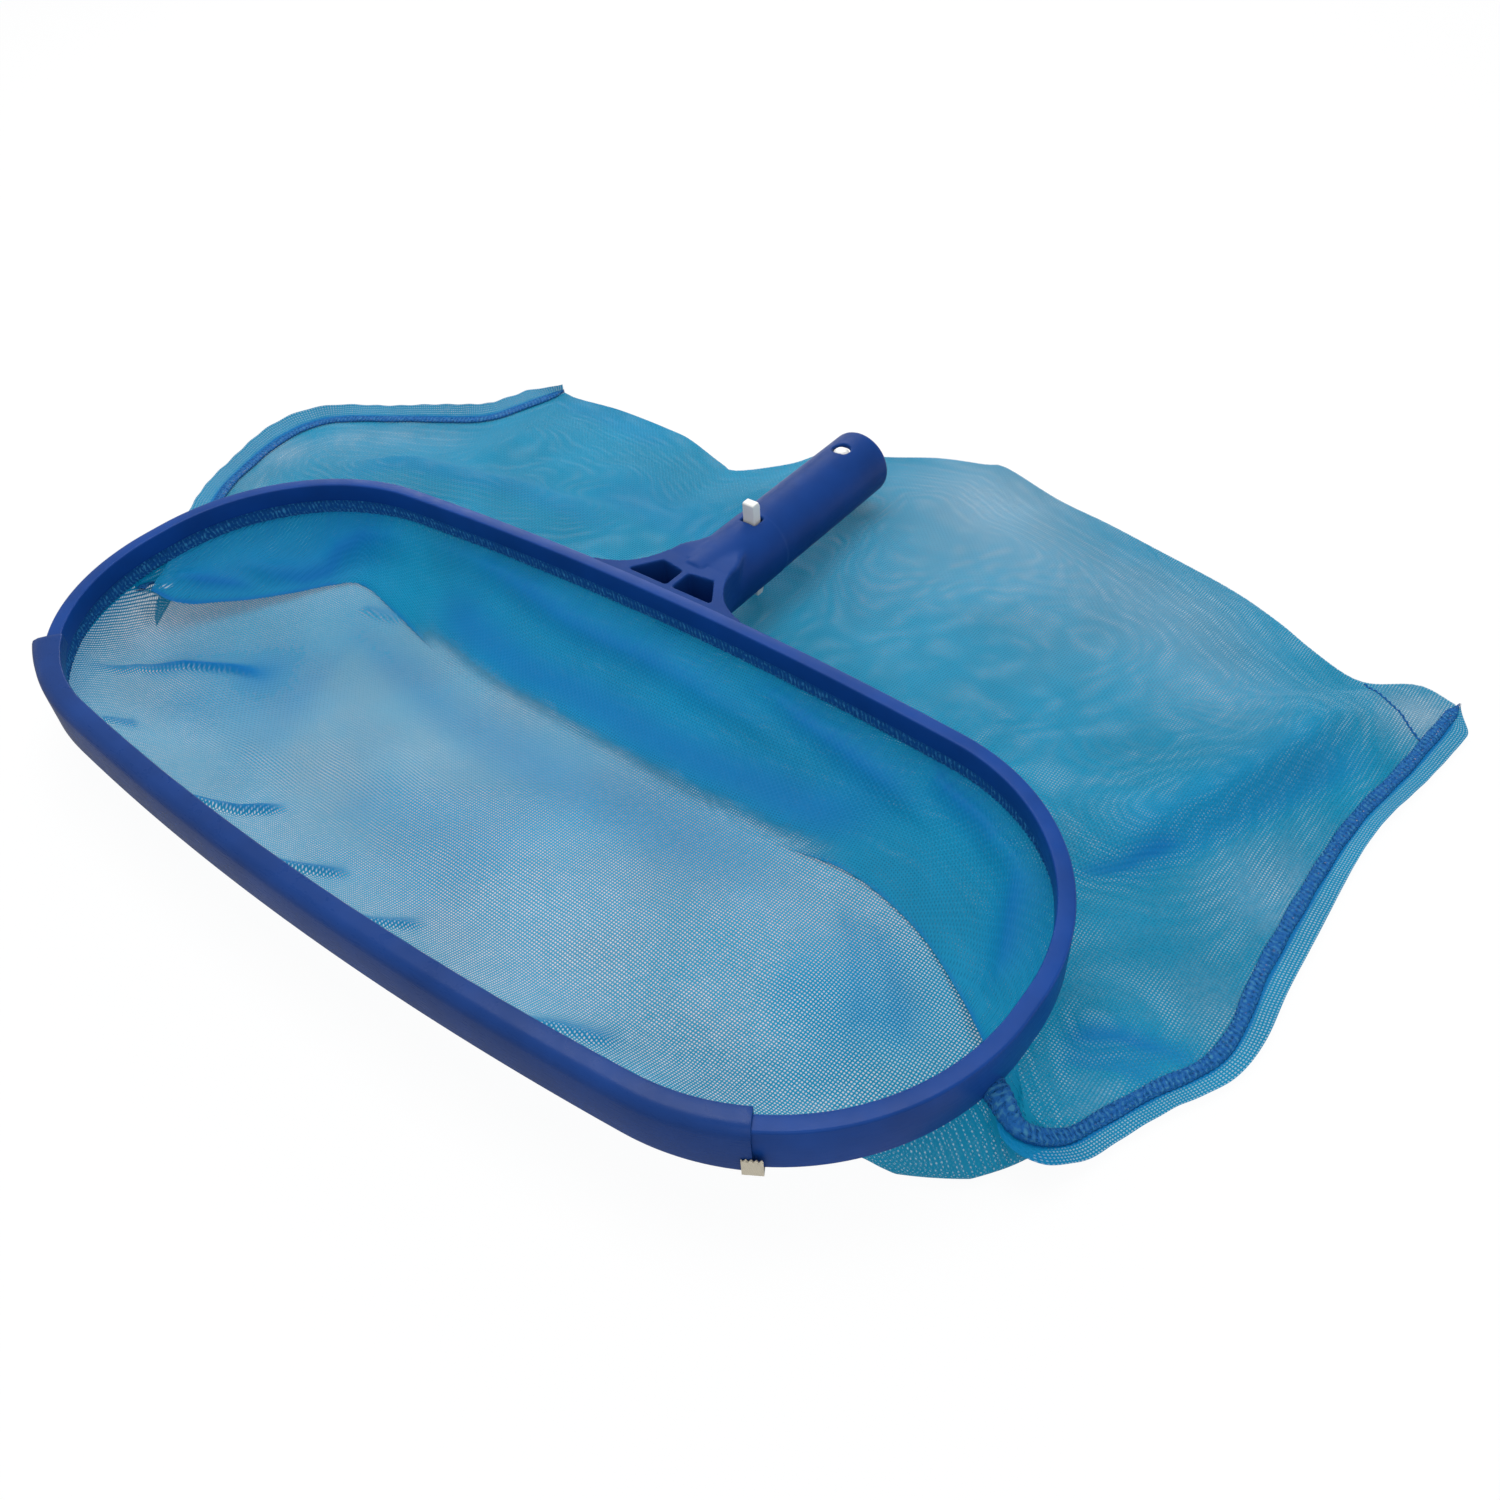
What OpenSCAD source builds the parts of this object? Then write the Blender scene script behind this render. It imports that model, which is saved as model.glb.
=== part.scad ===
// Leaf skimmer net: a moulded hoop on a pole socket, with a sewn net bag laid out
// behind it and a sprung white clip inside the socket. Millimetres, +Z up. The
// origin is on the socket's axis, in the plane of the clip's lock buttons, and
// the pole leaves along +Y.

/* [Hoop] */
// Width of the hoop from end to end
hoop_w = 412; // [380:1:450]
// Depth of the hoop from its rear edge to its front edge
hoop_d = 182; // [160:1:220]
// Depth of the hoop that its corners leave to the bowed edges and the flat ends
corner_leave = 19; // [17:0.5:60]
// How much larger the front corners' radius is than the rear corners'
corner_difference = 5; // [0:0.5:8]
// How far the middle of the rear edge stands out beyond its ends
rear_bow = 6.4; // [3:0.2:7]
// How far the middle of the front edge stands out beyond its ends
front_bow = 6.6; // [3:0.2:7]
// Height of the hoop's outer wall
hoop_h = 17.5; // [15:0.5:18]
// Width of the flat rim on top of the hoop
rim_w = 5.6; // [5:0.1:8]
// Thickness of the rim
rim_t = 1.8; // [1.2:0.1:2.6]
// Thickness of the hoop's outer wall
outer_wall = 1.8; // [1.2:0.1:2]
// Thickness of the hoop's inner wall
inner_wall = 1.2; // [0.8:0.1:1.4]
// How far the inner wall reaches down from the top
inner_drop = 8; // [6:0.5:10]

/* [Front lip] */
// Thickness of the clipped-on lip along the front of the hoop
lip_t = 1.2; // [0.8:0.1:2]
// Radius of the lip's rounded shoulder
lip_shoulder_r = 4; // [2.5:0.5:6]
// How far the lip's inner leg reaches down inside the hoop
lip_leg = 4; // [2:0.5:6]
// Clearance between the lip and the hoop
lip_fit = 0.15; // [0.12:0.01:0.3]
// How far the lip's loose left end has sprung out
lip_spring = 4; // [0:0.5:6]
// Angle of the lip's left end on its corner, below the hoop's long axis
lip_left_angle = 50; // [40:1:70]
// Angle of the lip's right end on its corner, below the hoop's long axis
lip_right_angle = 59; // [40:1:70]

/* [Yoke] */
// Radius of the yoke's two hollow sides, from the hoop to the socket
yoke_side_r = 27; // [22:1:34]
// Depth of the two pockets in the top of the yoke
pocket_depth = 13; // [8:0.5:14]
// Width of the rib between the two pockets
pocket_rib = 3.2; // [2:0.2:5]
// Distance of the pockets from the hoop's rear edge
pocket_wall = 2; // [1.5:0.1:3]
// Length of the pockets along the socket's axis
pocket_l = 10; // [8:0.5:11]
// Width of a pocket at the hoop
pocket_wide = 19; // [12:0.5:20]
// How much narrower a pocket is at its far end
pocket_slant = 8; // [2:0.5:9]
// How much further a pocket's outer corner reaches than its inner corner
pocket_skew = 1.6; // [0:0.2:2]

/* [Socket] */
// Outer diameter of the spigot that the pole slides over
spigot_d = 29.2; // [28:0.1:30]
// Bore of the socket
bore_d = 24.6; // [23.8:0.1:25.4]
// Length of the spigot, from the stop at the thumb tabs to the open end
spigot_l = 75.5; // [70:0.5:90]
// Distance of the lock buttons from the socket's open end
button_inset = 15.5; // [12:0.5:20]
// Distance of the lock buttons from the hoop's rear edge
hoop_back = 118.5; // [114:0.5:130]
// How far the hoop's top stands above the socket's axis
hoop_rise = 13.8; // [12.8:0.1:14.4]
// How much fuller the root of the socket is than the spigot, on the radius
root_step = 0.2; // [0.1:0.1:0.6]
// Rounding of the socket's open end
mouth_round = 0.8; // [0.4:0.1:1]

/* [Clip] */
// Width of the clip's arms
arm_w = 6.4; // [5:0.2:7]
// Thickness of the clip's arms
arm_t = 1.8; // [1.4:0.1:2]
// Distance from the lock buttons back to the flexing end of the arms
arm_l = 94; // [92:0.5:95]
// Half the distance between the arms' middles at their flexing end
bend_r = 3.2; // [2.8:0.1:4]
// Diameter of a lock button
button_d = 6.8; // [6:0.1:7]
// Clearance around a lock button in its hole
button_gap = 0.6; // [0.5:0.1:0.8]
// Depth of a button's tip under the spigot's surface with no pole fitted
button_sunk = 0.8; // [0.4:0.1:1.2]
// Distance from the lock buttons back to the middle of the thumb tabs
tab_back = 64; // [63:0.5:66]
// Width of a thumb tab across the socket
tab_w = 5.6; // [4:0.2:6]
// Length of a thumb tab along the socket
tab_l = 4.6; // [3.6:0.2:5]
// Height of a thumb tab above the spigot's surface
tab_h = 7.8; // [5:0.2:7.8]
// Clearance around a thumb tab in its window
tab_gap = 1; // [0.8:0.1:1.3]

/* [Net] */
// Thickness of the net cloth as drawn
net_t = 0.6; // [0.4:0.1:0.6]
// Height of the surface that the net lies on, below the socket's axis
lie_drop = 25; // [25:0.5:30]
// How far the hem shows below the hoop's inner wall
hem_show = 6; // [4:0.5:6]
// Diameter of the cord inside the hem
hem_cord_d = 1.8; // [1.2:0.1:1.8]
// How far the bag spreads beyond the hoop at its left end
spread_left = 85; // [60:1:100]
// How far the bag spreads beyond the hoop at its right end
spread_right = 58; // [50:1:100]
// Reach of the bag behind the hoop at its left corner
reach_left = 132; // [110:1:160]
// Reach of the bag behind the hoop at its middle
reach_middle = 196; // [160:1:230]
// Reach of the bag behind the hoop at its right corner
reach_right = 146; // [110:1:170]
// How high the upper cloth puffs up over the lower cloth
puff = 11; // [8:0.5:12]
// Width of the slope from the bag's edge up to its crown
cloth_slope = 90; // [60:5:95]
// Width of the flat trough that the socket presses into the bag
trough_w = 44; // [40:1:60]
// Width of the sewn side seams
seam_w = 5; // [3:0.5:8]
// Thickness of the sewn side seams
seam_t = 2; // [1.4:0.1:3]
// Width of the cord tail that comes out at the end of the lip
tail_w = 6; // [4:0.2:7]
// Height of the cord tail on the hoop's outer wall
tail_h = 6.5; // [4:0.2:8]
// Thickness of the cord tail
tail_t = 0.6; // [0.4:0.1:0.6]
// Clearance between the cord tail and the hoop's wall
tail_fit = 0.2; // [0.15:0.05:0.3]

/* [Hidden] */

plastic = [0.09, 0.20, 0.47];
lip_blue = [0.16, 0.24, 0.50];
net_blue = [0.13, 0.52, 0.74];
seam_blue = [0.06, 0.32, 0.60];
clip_white = [0.90, 0.89, 0.86];
cord_cream = [0.84, 0.80, 0.70];

// Steps in each corner, in each bowed edge, and round the socket
corner_steps = 18;
edge_steps = 8;
round_fn = 96;
small_fn = 48;

// Levels
hoop_top = hoop_rise;
hoop_foot = hoop_top - hoop_h;
hem_foot = hoop_top - inner_drop - hem_show;
ground = -lie_drop;
lower_top = ground + net_t;
sheet_gap = 0.1;

// The hoop's outline: two long bowed edges joined to four corners by tangent arcs
half_w = hoop_w / 2;
rear_corner_r = (hoop_d - corner_leave - corner_difference) / 2;
front_corner_r = rear_corner_r + corner_difference;
rear_half_angle = edge_angle(rear_corner_r, rear_bow);
front_half_angle = edge_angle(front_corner_r, front_bow);
rear_edge_r = edge_radius(rear_corner_r, rear_half_angle);
front_edge_r = edge_radius(front_corner_r, front_half_angle);
rear_corner_x = half_w - rear_corner_r;
front_corner_x = half_w - front_corner_r;
rear_corner_y = -rear_edge_r + (rear_edge_r - rear_corner_r) * cos(rear_half_angle);
front_corner_y = -hoop_d + front_edge_r
    - (front_edge_r - front_corner_r) * cos(front_half_angle);

// Half the angle that a bowed edge turns through
function edge_angle(corner_r, bow) =
    let (reach = half_w - corner_r)
    2 * atan((-reach + sqrt(reach * reach + 8 * corner_r * bow)) / (4 * corner_r));
function edge_radius(corner_r, half_angle) =
    corner_r + (half_w - corner_r) / sin(half_angle);

// A station is the centre, radius and angle of one point of the outline
function arc(x, y, r, from, to, steps) =
    [for (i = [0:steps]) [x, y, r, from + (to - from) * i / steps]];
function inset_point(s, inset) =
    [s[0] + (s[2] - inset) * cos(s[3]), s[1] + (s[2] - inset) * sin(s[3])];
function inset_outline(stations, inset) = [for (s = stations) inset_point(s, inset)];

front_right = arc(front_corner_x, front_corner_y, front_corner_r,
    270 + front_half_angle, 360, corner_steps);
rear_right = arc(rear_corner_x, rear_corner_y, rear_corner_r,
    0, 90 - rear_half_angle, corner_steps);
rear_edge = arc(0, -rear_edge_r, rear_edge_r,
    90 - rear_half_angle, 90 + rear_half_angle, edge_steps);
rear_left = arc(-rear_corner_x, rear_corner_y, rear_corner_r,
    90 + rear_half_angle, 180, corner_steps);
front_left = arc(-front_corner_x, front_corner_y, front_corner_r,
    180, 270 - front_half_angle, corner_steps);
front_edge = arc(0, -hoop_d + front_edge_r, front_edge_r,
    270 - front_half_angle, 270 + front_half_angle, edge_steps);
function without_last(list) = [for (i = [0:len(list) - 2]) list[i]];
loop = concat(without_last(front_edge), front_right, without_last(rear_right),
    without_last(rear_edge), rear_left, without_last(front_left));

// The lip's stations run from its left end round the front to its right end
lip_stations = concat(
    without_last(arc(-front_corner_x, front_corner_y, front_corner_r,
        180 + lip_left_angle, 270 - front_half_angle, corner_steps)),
    without_last(front_edge),
    arc(front_corner_x, front_corner_y, front_corner_r,
        270 + front_half_angle, 360 - lip_right_angle, corner_steps));
// Number of stations over which the lip's loose end comes back to the hoop
lip_free_steps = corner_steps;

// Widest part of the hoop, where the net's side seams start
split_y = (rear_corner_y + front_corner_y) / 2;
// The channel between the walls, which holds the hem
channel_mid = (outer_wall + rim_w - inner_wall) / 2;
hem_t = 2 * net_t;
cord_low = hoop_top - rim_t - net_t - hem_cord_d;

// Socket
spigot_r = spigot_d / 2;
root_r = spigot_r + root_step;
bore_r = bore_d / 2;
socket_end = button_inset;
spigot_start = socket_end - spigot_l;
bore_floor = -arm_l - bend_r - arm_t / 2;
socket_floor_t = 3;
socket_start = bore_floor - socket_floor_t;
gusset_r = 9;
yoke_half_w = root_r + yoke_side_r;
hole_r = button_d / 2 + button_gap;

// Clip: an arm leans out from its flexing end to the button
hinge_y = -arm_l;
arm_overrun = 6;
arm_out_z = 6.3;
arm_slope = (arm_out_z - bend_r) / arm_l;
hinge_fit = 0.05;
button_tip = spigot_r - button_sunk;
tab_tip = spigot_r + tab_h;
tab_corner = 1;

// Height of the top cloth over the bag: under a section across and one along
trough_top = ground + 2 * net_t + sheet_gap;
crown = trough_top + puff;
bag_left = -half_w - spread_left;
bag_right = half_w + spread_right;
left_seam_start = [channel_mid - half_w, split_y];
right_seam_start = [half_w - channel_mid, split_y];
far = 1000;

// Pieces inside the hoop's plane are drawn with the hoop's rear edge at y = 0
module at_hoop() {
    translate([0, -hoop_back, 0])
        children();
}

module ring(inset_out, inset_in, low, high) {
    translate([0, 0, low])
        linear_extrude(high - low)
            difference() {
                polygon(inset_outline(loop, inset_out));
                polygon(inset_outline(loop, inset_in));
            }
}

// A closed skin over rings of points, joined end to end where wrap is true
module skin(rings, wrap) {
    sides = len(rings[0]);
    count = len(rings);
    last = wrap ? count - 1 : count - 2;
    points = [for (ring = rings) for (p = ring) p];
    walls = [for (i = [0:last]) for (j = [0:sides - 1])
        let (a = i * sides + j, b = i * sides + (j + 1) % sides,
            c = (i + 1) % count * sides + (j + 1) % sides, d = (i + 1) % count * sides + j)
        each [[a, b, c], [a, c, d]]];
    caps = wrap ? [] : [[for (j = [0:sides - 1]) sides - 1 - j],
        [for (j = [0:sides - 1]) (count - 1) * sides + j]];
    polyhedron(points, concat(walls, caps));
}

// The moulded hoop: an outer wall, a flat rim and a short inner wall
module hoop_frame() {
    color(plastic)
        at_hoop() {
            ring(0, outer_wall, hoop_foot, hoop_top);
            ring(0, rim_w, hoop_top - rim_t, hoop_top);
            ring(rim_w - inner_wall, rim_w, hoop_top - inner_drop, hoop_top);
        }
}

// The lip's section at one station: across is measured out from the hoop's wall
shoulder_steps = 6;
lip_inside = -rim_w - lip_fit;
lip_top = lip_fit + lip_t;
function lip_section(out) = concat(
    [[lip_inside - lip_t, -lip_leg], [lip_inside, -lip_leg], [lip_inside, lip_fit],
        [out, lip_fit], [out, -hoop_h], [out + lip_t, -hoop_h]],
    [for (i = [0:shoulder_steps]) let (a = 90 * i / shoulder_steps)
        [out + lip_t - lip_shoulder_r * (1 - cos(a)),
            lip_top - lip_shoulder_r * (1 - sin(a))]],
    [[lip_inside - lip_t, lip_top]]);
function lip_stand_off(i) = lip_fit + lip_spring * pow(max(0, 1 - i / lip_free_steps), 2);
function lip_ring(s, out) = [for (p = lip_section(out))
    let (q = inset_point(s, -p[0])) [q[0], q[1], hoop_top + p[1]]];

// The separate lip that wraps the rim and the outer wall along the front
module front_lip() {
    color(lip_blue)
        at_hoop()
            skin([for (i = [0:len(lip_stations) - 1])
                lip_ring(lip_stations[i], lip_stand_off(i))], false);
}

// Plan of the yoke: hollow sides that run from the hoop's edge into the socket
module yoke_plan() {
    edge_sag = rear_edge_r - sqrt(pow(rear_edge_r, 2) - pow(yoke_half_w, 2));
    difference() {
        translate([-yoke_half_w, -2 * edge_sag])
            square([2 * yoke_half_w, yoke_side_r + edge_sag]);
        for (side = [-1, 1])
            translate([side * yoke_half_w, yoke_side_r - edge_sag])
                circle(r = yoke_side_r, $fn = round_fn);
        polygon(inset_outline(loop, 0));
    }
}

// One pocket of the yoke, to the right of the middle rib
module pocket_plan() {
    inner = pocket_rib / 2;
    rear = pocket_wall + pocket_l;
    polygon([[inner, pocket_wall], [inner + pocket_wide, pocket_wall],
        [inner + pocket_wide - pocket_slant, rear + pocket_skew], [inner, rear]]);
}

// The flared web between the hoop and the socket, with a gusset under it
module handle_yoke() {
    socket_y = socket_start + hoop_back;
    color(plastic)
        at_hoop()
            difference() {
                union() {
                    translate([0, 0, hoop_foot])
                        linear_extrude(hoop_h)
                            yoke_plan();
                    intersection() {
                        rotate([-90, 0, 0])
                            cylinder(r1 = gusset_r, r2 = root_r, h = socket_y, $fn = round_fn);
                        translate([-far / 2, 0, hoop_top - far])
                            cube([far, far, far]);
                    }
                }
                for (side = [0, 1])
                    translate([0, 0, hoop_top - pocket_depth])
                        linear_extrude(hoop_h)
                            mirror([side, 0])
                                pocket_plan();
                along_y(socket_y, socket_y + yoke_side_r, root_r, round_fn);
            }
}

module along_y(from, to, r, fn) {
    translate([0, from, 0])
        rotate([-90, 0, 0])
            cylinder(r = r, h = to - from, $fn = fn);
}

// Window in the socket's wall for a thumb tab, on both sides
module tab_window() {
    half_l = tab_l / 2 + tab_gap;
    half_wide = tab_w / 2 + tab_gap;
    translate([-half_wide, -tab_back - half_l, -far])
        cube([2 * half_wide, 2 * half_l, 2 * far]);
}

// The socket: a blind tube with a spigot that the pole slides over
module pole_socket() {
    color(plastic)
        difference() {
            union() {
                along_y(socket_start, spigot_start, root_r, round_fn);
                along_y(spigot_start, socket_end - mouth_round, spigot_r, round_fn);
                translate([0, socket_end - mouth_round, 0])
                    rotate([-90, 0, 0])
                        cylinder(r1 = spigot_r, r2 = spigot_r - mouth_round,
                            h = mouth_round, $fn = round_fn);
            }
            along_y(bore_floor, socket_end + 1, bore_r, round_fn);
            translate([0, 0, -far])
                cylinder(r = hole_r, h = 2 * far, $fn = small_fn);
            tab_window();
        }
}

// The sewn mouth of the bag, held in the hoop's channel and showing below it
module net_hem() {
    color(seam_blue)
        at_hoop()
            ring(channel_mid - hem_t / 2, channel_mid + hem_t / 2, hem_foot, cord_low);
}

// The cord that fills the hem and keeps it in the channel
module hem_cord() {
    cord_sides = 8;
    cord_r = hem_cord_d / 2;
    color(cord_cream)
        at_hoop()
            skin([for (s = loop) [for (j = [0:cord_sides - 1])
                let (a = 360 * j / cord_sides, q = inset_point(s, channel_mid - cord_r * cos(a)))
                [q[0], q[1], cord_low + cord_r * (1 + sin(a))]]], true);
}

// The end of the hem's cord, flattened and turned up round the hoop's foot
module hem_cord_tail() {
    turn = 360 - lip_right_angle;
    foot = inset_point([front_corner_x, front_corner_y, front_corner_r, turn], 0);
    inside = -outer_wall - tail_fit;
    outside = 2 * lip_fit + lip_t;
    leg = max(0, hem_foot - hoop_foot + tail_fit - sheet_gap);
    color(cord_cream)
        at_hoop()
            translate([foot[0], foot[1], hoop_foot - tail_fit])
                rotate([90, 0, turn])
                    translate([0, 0, -tail_w / 2])
                        linear_extrude(tail_w)
                            polygon([[inside - tail_t, -tail_t], [outside + tail_t, -tail_t],
                                [outside + tail_t, tail_h], [outside, tail_h], [outside, 0],
                                [inside, 0], [inside, leg], [inside - tail_t, leg]]);
}

// Plan of the bag as it lies: the hoop's front, two side seams and the rear fold
left_edge = [for (p = [[0, -0.08], [0.05, 0.3], [0.34, 0.53], [0.87, 0.74], [1.08, 1]])
    [bag_left + p[0] * spread_left, p[1] * reach_left]];
rear_fold = concat(
    [for (p = [[-0.79, 1.02], [-0.34, 0.98]]) [p[0] * half_w, p[1] * reach_left]],
    [for (p = [[-0.19, 0.77], [0, 0.93], [0.19, 1], [0.53, 0.97]])
        [p[0] * half_w, p[1] * reach_middle]],
    [for (p = [[1.02, 1], [1.13, 0.96]]) [p[0] * half_w, p[1] * reach_right]]);
right_edge = concat(
    [for (p = [[1, 1], [0.97, 0.82], [0.83, 0.34]])
        [half_w + p[0] * spread_right, p[1] * reach_right]],
    [for (p = [[0.73, 0.25], [0.43, 0.48], [0.13, 0.62]])
        [half_w + p[0] * spread_right, -p[1] * hoop_d]]);
function reversed(list) = [for (i = [len(list) - 1:-1:0]) list[i]];

module bag_plan() {
    polygon(concat(left_edge, rear_fold, right_edge, [right_seam_start, left_seam_start]));
    polygon(inset_outline(loop, channel_mid));
}

// A band of even width along the left of a run of points
function unit(v) = v / norm(v);
function left_normal(run, i) =
    let (ahead = run[min(i + 1, len(run) - 1)], behind = run[max(i - 1, 0)],
        d = unit(ahead - behind))
    [-d[1], d[0]];
module band_plan(run, width) {
    polygon(concat(run, reversed([for (i = [0:len(run) - 1])
        run[i] + width * left_normal(run, i)])));
}

// The space below the upper cloth: a section across the bag and one along it
module under_cloth(lift) {
    side = trough_w / 2;
    foot = [side + cloth_slope / 2, 0.6 * puff];
    across = [[bag_left, 0], [bag_left + cloth_slope, puff], [-half_w + cloth_slope, puff],
        [-foot[0], foot[1]], [-side, 0], [side, 0], foot, [half_w - cloth_slope, puff],
        [bag_right - cloth_slope, puff], [bag_right, 0]];
    along = [[-hoop_d, puff], [reach_left - cloth_slope, puff], [reach_left, 0.15 * puff],
        [reach_middle, 0]];
    intersection() {
        translate([0, far / 2, trough_top - net_t + lift])
            rotate([90, 0, 0])
                linear_extrude(far)
                    polygon(concat([[bag_left, -far]], across, [[bag_right, -far]]));
        translate([-far / 2, 0, trough_top - net_t + lift])
            rotate([90, 0, 90])
                linear_extrude(far)
                    polygon(concat([[-hoop_d, -far]], along, [[reach_middle, -far]]));
    }
}

// The lower cloth: it drops from the hoop's front, lies on the ground and turns up
// at the bag's two front corners
module net_lower_panel() {
    color(net_blue)
        at_hoop() {
            translate([0, 0, ground])
                linear_extrude(net_t)
                    bag_plan();
            intersection() {
                ring(channel_mid - net_t / 2, channel_mid + net_t / 2, ground, hem_foot);
                translate([-far / 2, split_y - far, -far / 2])
                    cube([far, far, far]);
            }
            intersection() {
                translate([0, 0, ground])
                    linear_extrude(far)
                        for (run = [[left_edge[0], left_seam_start],
                            [right_seam_start, right_edge[len(right_edge) - 1]]])
                            band_plan(run, net_t);
                under_cloth(-sheet_gap);
            }
        }
}

// The upper cloth: it drops from the hoop's rear and runs back over the lower one
module net_upper_panel() {
    color(net_blue)
        at_hoop() {
            difference() {
                intersection() {
                    translate([0, 0, lower_top + sheet_gap])
                        linear_extrude(far)
                            difference() {
                                bag_plan();
                                polygon(inset_outline(loop, channel_mid));
                            }
                    under_cloth(net_t);
                }
                under_cloth(0);
            }
            difference() {
                ring(channel_mid - net_t / 2, channel_mid + net_t / 2,
                    lower_top + sheet_gap, hem_foot);
                under_cloth(0);
                translate([-far / 2, split_y - far, -far / 2])
                    cube([far, far, far]);
            }
        }
}

// The overlocked seams that close the bag at its two sides
module left_side_seam() {
    color(seam_blue)
        at_hoop()
            translate([0, 0, ground])
                linear_extrude(seam_t)
                    band_plan(left_edge, seam_w);
}

module right_side_seam() {
    color(seam_blue)
        at_hoop()
            translate([0, 0, ground])
                linear_extrude(seam_t)
                    band_plan(right_edge, seam_w);
}

// A solid with a side view drawn in Y and Z, centred across the socket
module side_view(width) {
    translate([-width / 2, 0, 0])
        rotate([90, 0, 90])
            linear_extrude(width)
                children();
}

// The bend that joins the clip's two arms, seated on the socket's floor
module clip_bend() {
    color(clip_white)
        side_view(arm_w)
            translate([hinge_y, 0])
                difference() {
                    circle(r = bend_r + arm_t / 2, $fn = small_fn);
                    circle(r = bend_r - arm_t / 2, $fn = small_fn);
                    translate([0, -far / 2])
                        square([far, far]);
                    for (side = [-1, 1])
                        translate([0, side * bend_r])
                            circle(r = arm_t / 2 + hinge_fit, $fn = small_fn);
                }
}

// The upper arm with its thumb tab and lock button, one springy moulding
module clip_upper_arm() {
    tab_root = bend_r + arm_slope * (arm_l - tab_back);
    color(clip_white) {
        side_view(arm_w)
            union() {
                translate([hinge_y, bend_r])
                    circle(r = arm_t / 2, $fn = small_fn);
                polygon([[hinge_y, bend_r - arm_t / 2],
                    [arm_overrun, arm_out_z + arm_slope * arm_overrun - arm_t / 2],
                    [arm_overrun, arm_out_z + arm_slope * arm_overrun + arm_t / 2],
                    [hinge_y, bend_r + arm_t / 2]]);
            }
        translate([0, 0, arm_out_z])
            cylinder(d = button_d, h = button_tip - arm_out_z - 1, $fn = small_fn);
        translate([0, 0, button_tip - 1])
            cylinder(d1 = button_d, d2 = button_d - 2, h = 1, $fn = small_fn);
        side_view(tab_w)
            polygon([[-tab_back - tab_l / 2, tab_root], [-tab_back + tab_l / 2, tab_root],
                [-tab_back + tab_l / 2, tab_tip - 2 * tab_corner],
                [-tab_back + tab_l / 2 - tab_corner, tab_tip],
                [-tab_back - tab_l / 2 + tab_corner / 2, tab_tip],
                [-tab_back - tab_l / 2, tab_tip - tab_corner / 2]]);
    }
}

module clip_lower_arm() {
    mirror([0, 0, 1])
        clip_upper_arm();
}

hoop_frame();
handle_yoke();
pole_socket();
front_lip();
net_hem();
hem_cord();
hem_cord_tail();
net_lower_panel();
net_upper_panel();
left_side_seam();
right_side_seam();
clip_bend();
clip_upper_arm();
clip_lower_arm();
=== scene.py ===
"""Dresses the leaf skimmer net: moulded hoop, handle and lip, lock clip and sewn net bag."""
import math

import bmesh
import bpy
import numpy as np
from mathutils import Matrix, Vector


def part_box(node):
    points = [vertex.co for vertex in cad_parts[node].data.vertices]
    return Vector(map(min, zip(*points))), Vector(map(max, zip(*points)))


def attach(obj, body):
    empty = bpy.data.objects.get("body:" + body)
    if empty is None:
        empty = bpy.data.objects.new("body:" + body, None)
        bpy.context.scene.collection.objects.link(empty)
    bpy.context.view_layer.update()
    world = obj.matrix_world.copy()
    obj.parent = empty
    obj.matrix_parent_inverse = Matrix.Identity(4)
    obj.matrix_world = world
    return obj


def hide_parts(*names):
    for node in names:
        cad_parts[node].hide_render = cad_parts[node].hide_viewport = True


bl_info = {
    "name": "Leaf skimmer net",
    "version": (1, 0, 0),
    "blender": (4, 5, 0),
    "location": "3D View > Sidebar > Skimmer",
    "description": "Builds the looks of a pool leaf skimmer net over its packed frame",
    "category": "Object",
}

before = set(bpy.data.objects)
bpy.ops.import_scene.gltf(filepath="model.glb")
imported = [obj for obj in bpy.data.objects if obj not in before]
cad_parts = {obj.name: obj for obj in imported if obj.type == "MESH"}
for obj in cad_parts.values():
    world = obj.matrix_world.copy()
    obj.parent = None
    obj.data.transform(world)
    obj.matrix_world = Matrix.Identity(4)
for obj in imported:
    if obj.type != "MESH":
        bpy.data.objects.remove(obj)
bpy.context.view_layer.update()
MM = 0.001
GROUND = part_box("net_lower_panel")[0].z
HOOP_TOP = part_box("hoop_frame")[1].z
HOOP_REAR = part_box("hoop_frame")[1].y
# Levels of the two cloths and of the side seams where they lie on the ground
LOWER_FLOOR, SEAM_FLOOR, UPPER_FLOOR = GROUND + 0.0005, GROUND + 0.0006, GROUND + 0.0011
# Points closer than this are merged
MERGE = 0.00001
# Edges that turn by more than this keep a sharp shade
SHARP = math.radians(40)


# ---------------- settings

def length(name, default, description):
    """A size in metres."""
    return bpy.props.FloatProperty(
        name=name, description=description, default=default, unit="LENGTH")


def shade(name, default, description):
    """A colour as linear red, green and blue."""
    return bpy.props.FloatVectorProperty(
        name=name, description=description, default=default,
        subtype="COLOR", size=3, min=0.0, max=1.0)


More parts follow.
